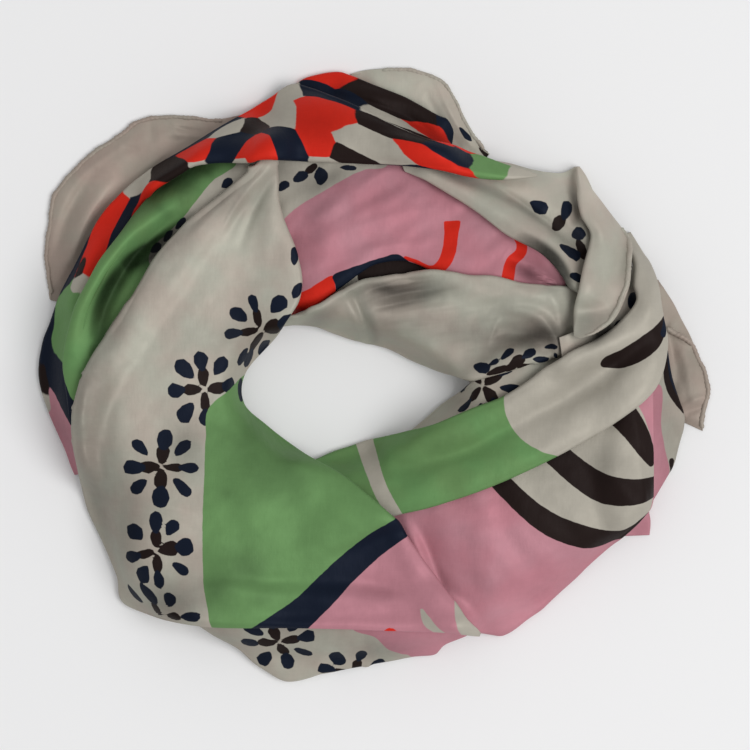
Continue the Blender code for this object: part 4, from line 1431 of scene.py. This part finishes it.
# The ridge and the front panel lie on one end of the band, and its other end on them, so
# it is laid twice: here for them to lie on, and again when they are there.
band = sheet_over(heap, BAND, **BAND_FORM)
low = heap.copy()
low.add(band.grid, where=lambda y: y < CROSSING)

# ---------------------------------------------------------------------------
# Green ridge: the green field again, between the band and the front panel. The silk
# stands up in one sharp fold with a deep valley on its inner side.
ridge = sheet_over(low, [
    Section(-70, 113, -52, 112, 0, 0),
    Section(-84, 110, -56, 103, 1, 0),
    Section(-94, 102.5, -64, 93, 1, 1),
    Section(-107, 94.5, -74, 81, 2, 1),
    Section(-118.5, 82, -86, 65, 2, 1),
    Section(-127, 70.5, -92, 57, 2, 1),
    Section(-136, 58.5, -99, 46, 2, 1),
    Section(-141.5, 48.5, -109, 32, 2, 1),
    Section(-148, 36, -116, 22, 2, 1),
    Section(-152, 22, -124, 10, 2, 1),
    Section(-154.5, 8, -131, 0, 2, 1),
    Section(-153, -5, -137, -12, 1, 1),
    Section(-150, -21.5, -140, -27, 0, 0),
], 190, 70, roll=(2.2, 1.5), tuck=5, creases=[
    Crease(-88, 94, -152, 12, -10.5, 5.0, 6.0),
    Crease(-90, 82, -138, 8, -11.7, 3.4, -4.0),
    Crease(-70, 106, -96, 88, -1, 4.0, 1.4),
])
navy = np.maximum(
    petals(ridge, [Petal(-71.9, 95.2, 3.2, 2.3, 40), Petal(-95, 75.4, 3.8, 1.9, 55),
                   Petal(-101.3, 69.2, 3.6, 1.8, 55), Petal(-107.2, 63.5, 3.3, 2.3, 40)],
           91),
    area(ridge, [(-157, 12), (-154.8, 4.5), (-149.2, -10), (-142, -20), (-150, -45),
                 (-175, -20)]))
beige = area(ridge, [(-66, 110), (-68, 104), (-79, 96.5), (-88, 85.5), (-94, 78),
                     (-101.5, 70.5), (-106, 66.5), (-109.5, 62), (-110, 55), (-100, 44),
                     (-80, 60), (-50, 100)])
finish_sheet("ridge_cloth", "green_ridge", ridge, GREEN,
             inks=[Ink("beige", BEIGE, beige), Ink("navy", NAVY, navy)], shades=[
    Shade(-135, 16, 14, 5.0, 74, 0.40),
    Shade(-109, 58, 9, 6.0, 50, 0.34),
    Shade(-92, 92.5, 9, 5.0, 25, 0.36),
    Shade(-104, 82, 5, 3.0, -40, 0.22),
    Shade(-80, 99, 5, 3.0, -50, 0.20),
    Shade(-84, 102, 22, 5, 17, 0.42),
    Shade(-110, 89, 11, 5, 48, 0.60),
    Shade(-124, 75, 13, 3.4, 50, 0.50),
    Shade(-96, 83, 10, 4, 40, 0.16),
], lip_shadows=[
    LipShadow(-88, 82.2, -126, 57.3, 0, 9, 0.90),
    LipShadow(-112, 66, -140.5, 19, -7.3, 9.5, 0.92),
])
low.add(ridge.grid)

# ---------------------------------------------------------------------------
# Front panel: the widest stretch, from the neck under the mosaic down over the front.
# It shows a row of border flowers, the green field, a navy arc and some pink.
front = sheet_over(low, [
    Section(-51, 117, -45, 117, 0, 0),
    Section(-58, 105, -45.5, 105, 0, 0),
    Section(-74, 91, -46, 91, 1, 1),
    Section(-91.5, 77, -42.5, 77, 2, 2),
    Section(-107, 60.5, -36, 59, 2, 3),
    Section(-121, 38, -35, 41, 2, 4),
    Section(-134, 18, -45, 21.5, 2, 5),
    Section(-145, -1, -61, 2, 2, 5),
    Section(-150, -22, -62, -13, 2, 5),
    Section(-149, -42, -51, -24, 2, 5),
    Section(-145, -62, -36, -35.5, 2, 5),
    Section(-137, -82, -15, -47.5, 3, 5),
    Section(-130, -99.5, 1, -60.5, 4, 5),
    Section(-123, -116, 12, -70.5, 5, 5),
    Section(-86, -124.5, 19, -81, 3, 5),
    Section(-36, -125.5, 30, -96, 2, 3),
    Section(14, -127, 41, -110, 1, 1),
    Section(53, -129.5, 54, -127, 0, 0),
], 240, 124, roll=(2.6, 2.2), tuck=6, creases=[
    Crease(-54, 105, -92, 80, -2, 1.7, 1.7),
    Crease(-52, 103, -94, 68, -3, 2.2, -1.9),
    Crease(-49, 104, -76, 66, -3, 2.0, 1.5),
    Crease(-47, 102, -66, 60, -2, 2.4, -1.5),
    Crease(-46.5, 98, -54, 50, -1, 4.0, 0.9),
    Crease(-96, 70, -122, 26, -2, 4.0, 1.2),
    Crease(-98, 60, -134, 4, -5, 5.0, -1.4),
    Crease(-84, 52, -112, 6, -3, 8.0, 0.9),
    Crease(-141, -2, -141, -50, -2, 2.6, 1.9),
    Crease(-135, -6, -131, -80, -2, 4.0, -2.0),
    Crease(-128, 2, -122, -60, -1, 6.0, 1.5),
    Crease(-120, -61, -86, -69, 1, 1.7, 1.0),
    Crease(-118, -66, -88, -75, 1, 1.5, -0.9),
    Crease(-122, -100, -84, -106, 1, 2.4, -0.9),
    Crease(-148, -12, -138, -20, 0, 1.3, -0.9),
    Crease(-148, -22, -137, -27, 0, 1.4, 0.8),
    Crease(-147, -32, -136, -35, 0, 1.3, -0.8),
    Crease(-144, 4, -136, -4, 0, 1.4, 0.8),
    Crease(-118, -20, -112, -100, -3, 8.0, 0.8),
    Crease(-60, -10, -20, -100, 4, 8.0, 0.9),
    Crease(-80, -30, -60, -116, 2, 6.0, -0.7),
    Crease(-20, -60, 20, -120, 3, 6.0, 0.7),
], swell=[(-70, 110, 34, 0.5, 101), (20, 60, 22, 0.2, 102)])
navy, brown = flowers(front, [
    Flower(-55, 23, 12), Flower(-83, -6.5, 4), Flower(-104.3, -45, 0),
    Flower(-106.5, -86.5, 8)], 105)
navy = np.maximum(navy, petals(front, [
    Petal(-38.2, 59.5, 5.0, 2.5, 88), Petal(-37.2, 42, 4.8, 2.4, 62),
    Petal(-118.4, -108.2, 6.4, 2.8, -48), Petal(-110.8, -108.2, 6.8, 3.6, -60),
    Petal(-100.4, -110.4, 4.2, 3.6, 80), Petal(-90, -118.6, 5.4, 2.6, 2)], 106))
brown = np.maximum(brown, petals(front, [
    Petal(-107.2, -115.2, 4.8, 3.2, -58), Petal(-98.4, -118.8, 4.6, 2.4, 5)], 108))
drop = petals(front, [Petal(-66, -7.4, 6.2, 3.4, 80)], 107)
arc = [Dab(26, -67, 4.8), Dab(15.8, -74, 5.2), Dab(1.2, -83.5, 6), Dab(-13.8, -96.5, 6.8),
       Dab(-31.8, -114.5, 7.4), Dab(-44.8, -125, 8.4), Dab(-58, -134, 9)]
drop = np.maximum(drop, stroke(front, arc))
green = area(front, [
    (-55, 3), (-66.5, -2), (-80, -14.5), (-82.3, -29.5), (-83, -47.5), (-83.8, -71),
    (-83.6, -95), (-81.6, -113), (-79.4, -124), (-72, -138), (-44.8, -125),
    (-31.8, -114.5), (-13.8, -96.5), (1.2, -83.5), (15.8, -74), (40, -58), (0, -20),
    (-36, 6)])
pink = area(front, [
    (30, -64), (15.8, -74), (1.2, -83.5), (-13.8, -96.5), (-31.8, -114.5), (-44.8, -125),
    (-58, -140), (0, -165), (90, -150), (70, -80)])
leaves = np.maximum(
    stroke(front, [Dab(24.2, -115.5, 0.8), Dab(27.2, -121.5, 2.4), Dab(34, -128.5, 2.4)]),
    stroke(front, [Dab(41.2, -111, 0.6), Dab(43.8, -120, 3.2), Dab(49, -129, 5.0)]))
red = stroke(front, [Dab(5.5, -126.2, 0.3), Dab(8.8, -125.4, 1.1), Dab(12, -126.4, 0.3)])
finish_sheet("front_cloth", "front_panel", front,
             inks=[
    Ink("brown", BROWN, brown), Ink("navy", NAVY, navy), Ink("green", GREEN, green),
    Ink("pink", PINK, pink), Ink("leaf", BEIGE, leaves), Ink("red", RED, red),
    Ink("arc", NAVY, drop)], shades=[
    Shade(-62, -30, 8, 6, 80, 0.14),
    Shade(-36, -46, 8, 7, 0, 0.12),
    Shade(-72, -58, 5, 3, 0, 0.14),
    Shade(-60, -34, 22, 18, -35, 0.20),
    Shade(-48, -52, 18, 10, -20, 0.16),
    Shade(-54, -71, 22, 6, 12, -0.06),
    Shade(-66, -93, 12, 12, 0, 0.22),
    Shade(-60, -95, 8, 7, 0, 0.16),
    Shade(-76, -104, 7, 6, 20, 0.24),
    Shade(-54, -110, 7, 4, 20, 0.16),
    Shade(-71, 57, 22, 12, 62, -0.18),
    Shade(-61, 83, 12, 6, 50, 0.16),
    Shade(-132, -13, 20, 7, 82, 0.20),
    Shade(4, -107, 14, 7, -30, 0.12),
    Shade(-120, -66, 22, 11, -84, 0.28),
    Shade(-146, -10, 30, 10, 92, 0.30),
    Shade(-134, 14, 18, 8, 70, 0.24),
    Shade(-124, 27, 14, 7, 62, 0.16),
    Shade(-134, -44, 16, 9, -84, 0.28),
    Shade(-113, -4, 26, 8, 86, -0.13),
    Shade(-92, -74, 11, 7, -50, -0.18),
    Shade(-93, -36, 12, 9, 90, 0.34),
    Shade(-95, -112, 20, 10, -4, 0.42),
    Shade(-123, -88, 18, 7, 88, 0.14),
    Shade(-70, 20, 12, 8, 45, 0.28),
    Shade(-18, -62, 16, 7, -40, -0.10),
    Shade(-8, -112, 12, 5, 10, 0.10),
    Shade(-98, 64, 34, 7, 48, 0.34),
    Shade(-72, 86, 12, 6, 50, 0.28),
    Shade(-137, -66, 28, 6, -76, 0.26),
    Shade(-132, 6, 22, 4, 66, 0.08),
    Shade(-50, 96, 10, 5, 60, 0.16),
])

# The band is laid once more, now that what it crosses is there.
for laid in (ridge, front):
    heap.add(laid.grid, where=lambda y: y > CROSSING)
band = sheet_over(heap, BAND, **BAND_FORM)
finish_sheet("band_cloth", "mosaic_band", band,
             RED, inks=mosaic(band, MOSAIC), shades=[
    Shade(-113, 84, 14, 4, 48, 0.35),
    Shade(-26, 124, 18, 9, -10, 0.22),
    Shade(-155, -27, 20, 8, -60, 0.34),
])

# ---------------------------------------------------------------------------
# Table and light: a plain pale surface that the scarf rests on, lit evenly from all
# round and by one broad, soft lamp from the right.
TABLE_HALF = 3.0
TABLE_WHITE = (0.85, 0.85, 0.855, 1.0)
TABLE_ROUGHNESS = 0.6
LIGHT_ALL_ROUND = 0.58

table_corners = [(x * TABLE_HALF, y * TABLE_HALF, cad_box[0][2])
                 for x, y in ((-1, -1), (1, -1), (1, 1), (-1, 1))]
table_mesh = bpy.data.meshes.new("table_top")
table_mesh.from_pydata(table_corners, [], [(0, 1, 2, 3)])
table_top = bpy.data.objects.new("table_top", table_mesh)
bpy.context.scene.collection.objects.link(table_top)
paint = Surface("table_white")
paint.shader.inputs["Base Color"].default_value = TABLE_WHITE
paint.shader.inputs["Roughness"].default_value = TABLE_ROUGHNESS
table_mesh.materials.append(paint.material)

world = bpy.data.worlds.new("studio")
world.use_nodes = True
sky = world.node_tree.nodes["Background"]
sky.inputs["Color"].default_value = (1, 1, 1, 1)
sky.inputs["Strength"].default_value = LIGHT_ALL_ROUND
bpy.context.scene.world = world
bpy.context.scene.view_settings.view_transform = "Standard"


def soft_lamp(name, place, size, power):
    """Round lamp that faces the middle of the ring."""
    data = bpy.data.lights.new(name, "AREA")
    data.shape = "DISK"
    data.size = size
    data.energy = power
    lamp = bpy.data.objects.new(name, data)
    lamp.location = place
    lamp.rotation_mode = "QUATERNION"
    lamp.rotation_quaternion = (-Vector(place)).to_track_quat("-Z", "Y")
    bpy.context.scene.collection.objects.link(lamp)


soft_lamp("key", place=(2.3, -0.6, 3.8), size=3.0, power=104)
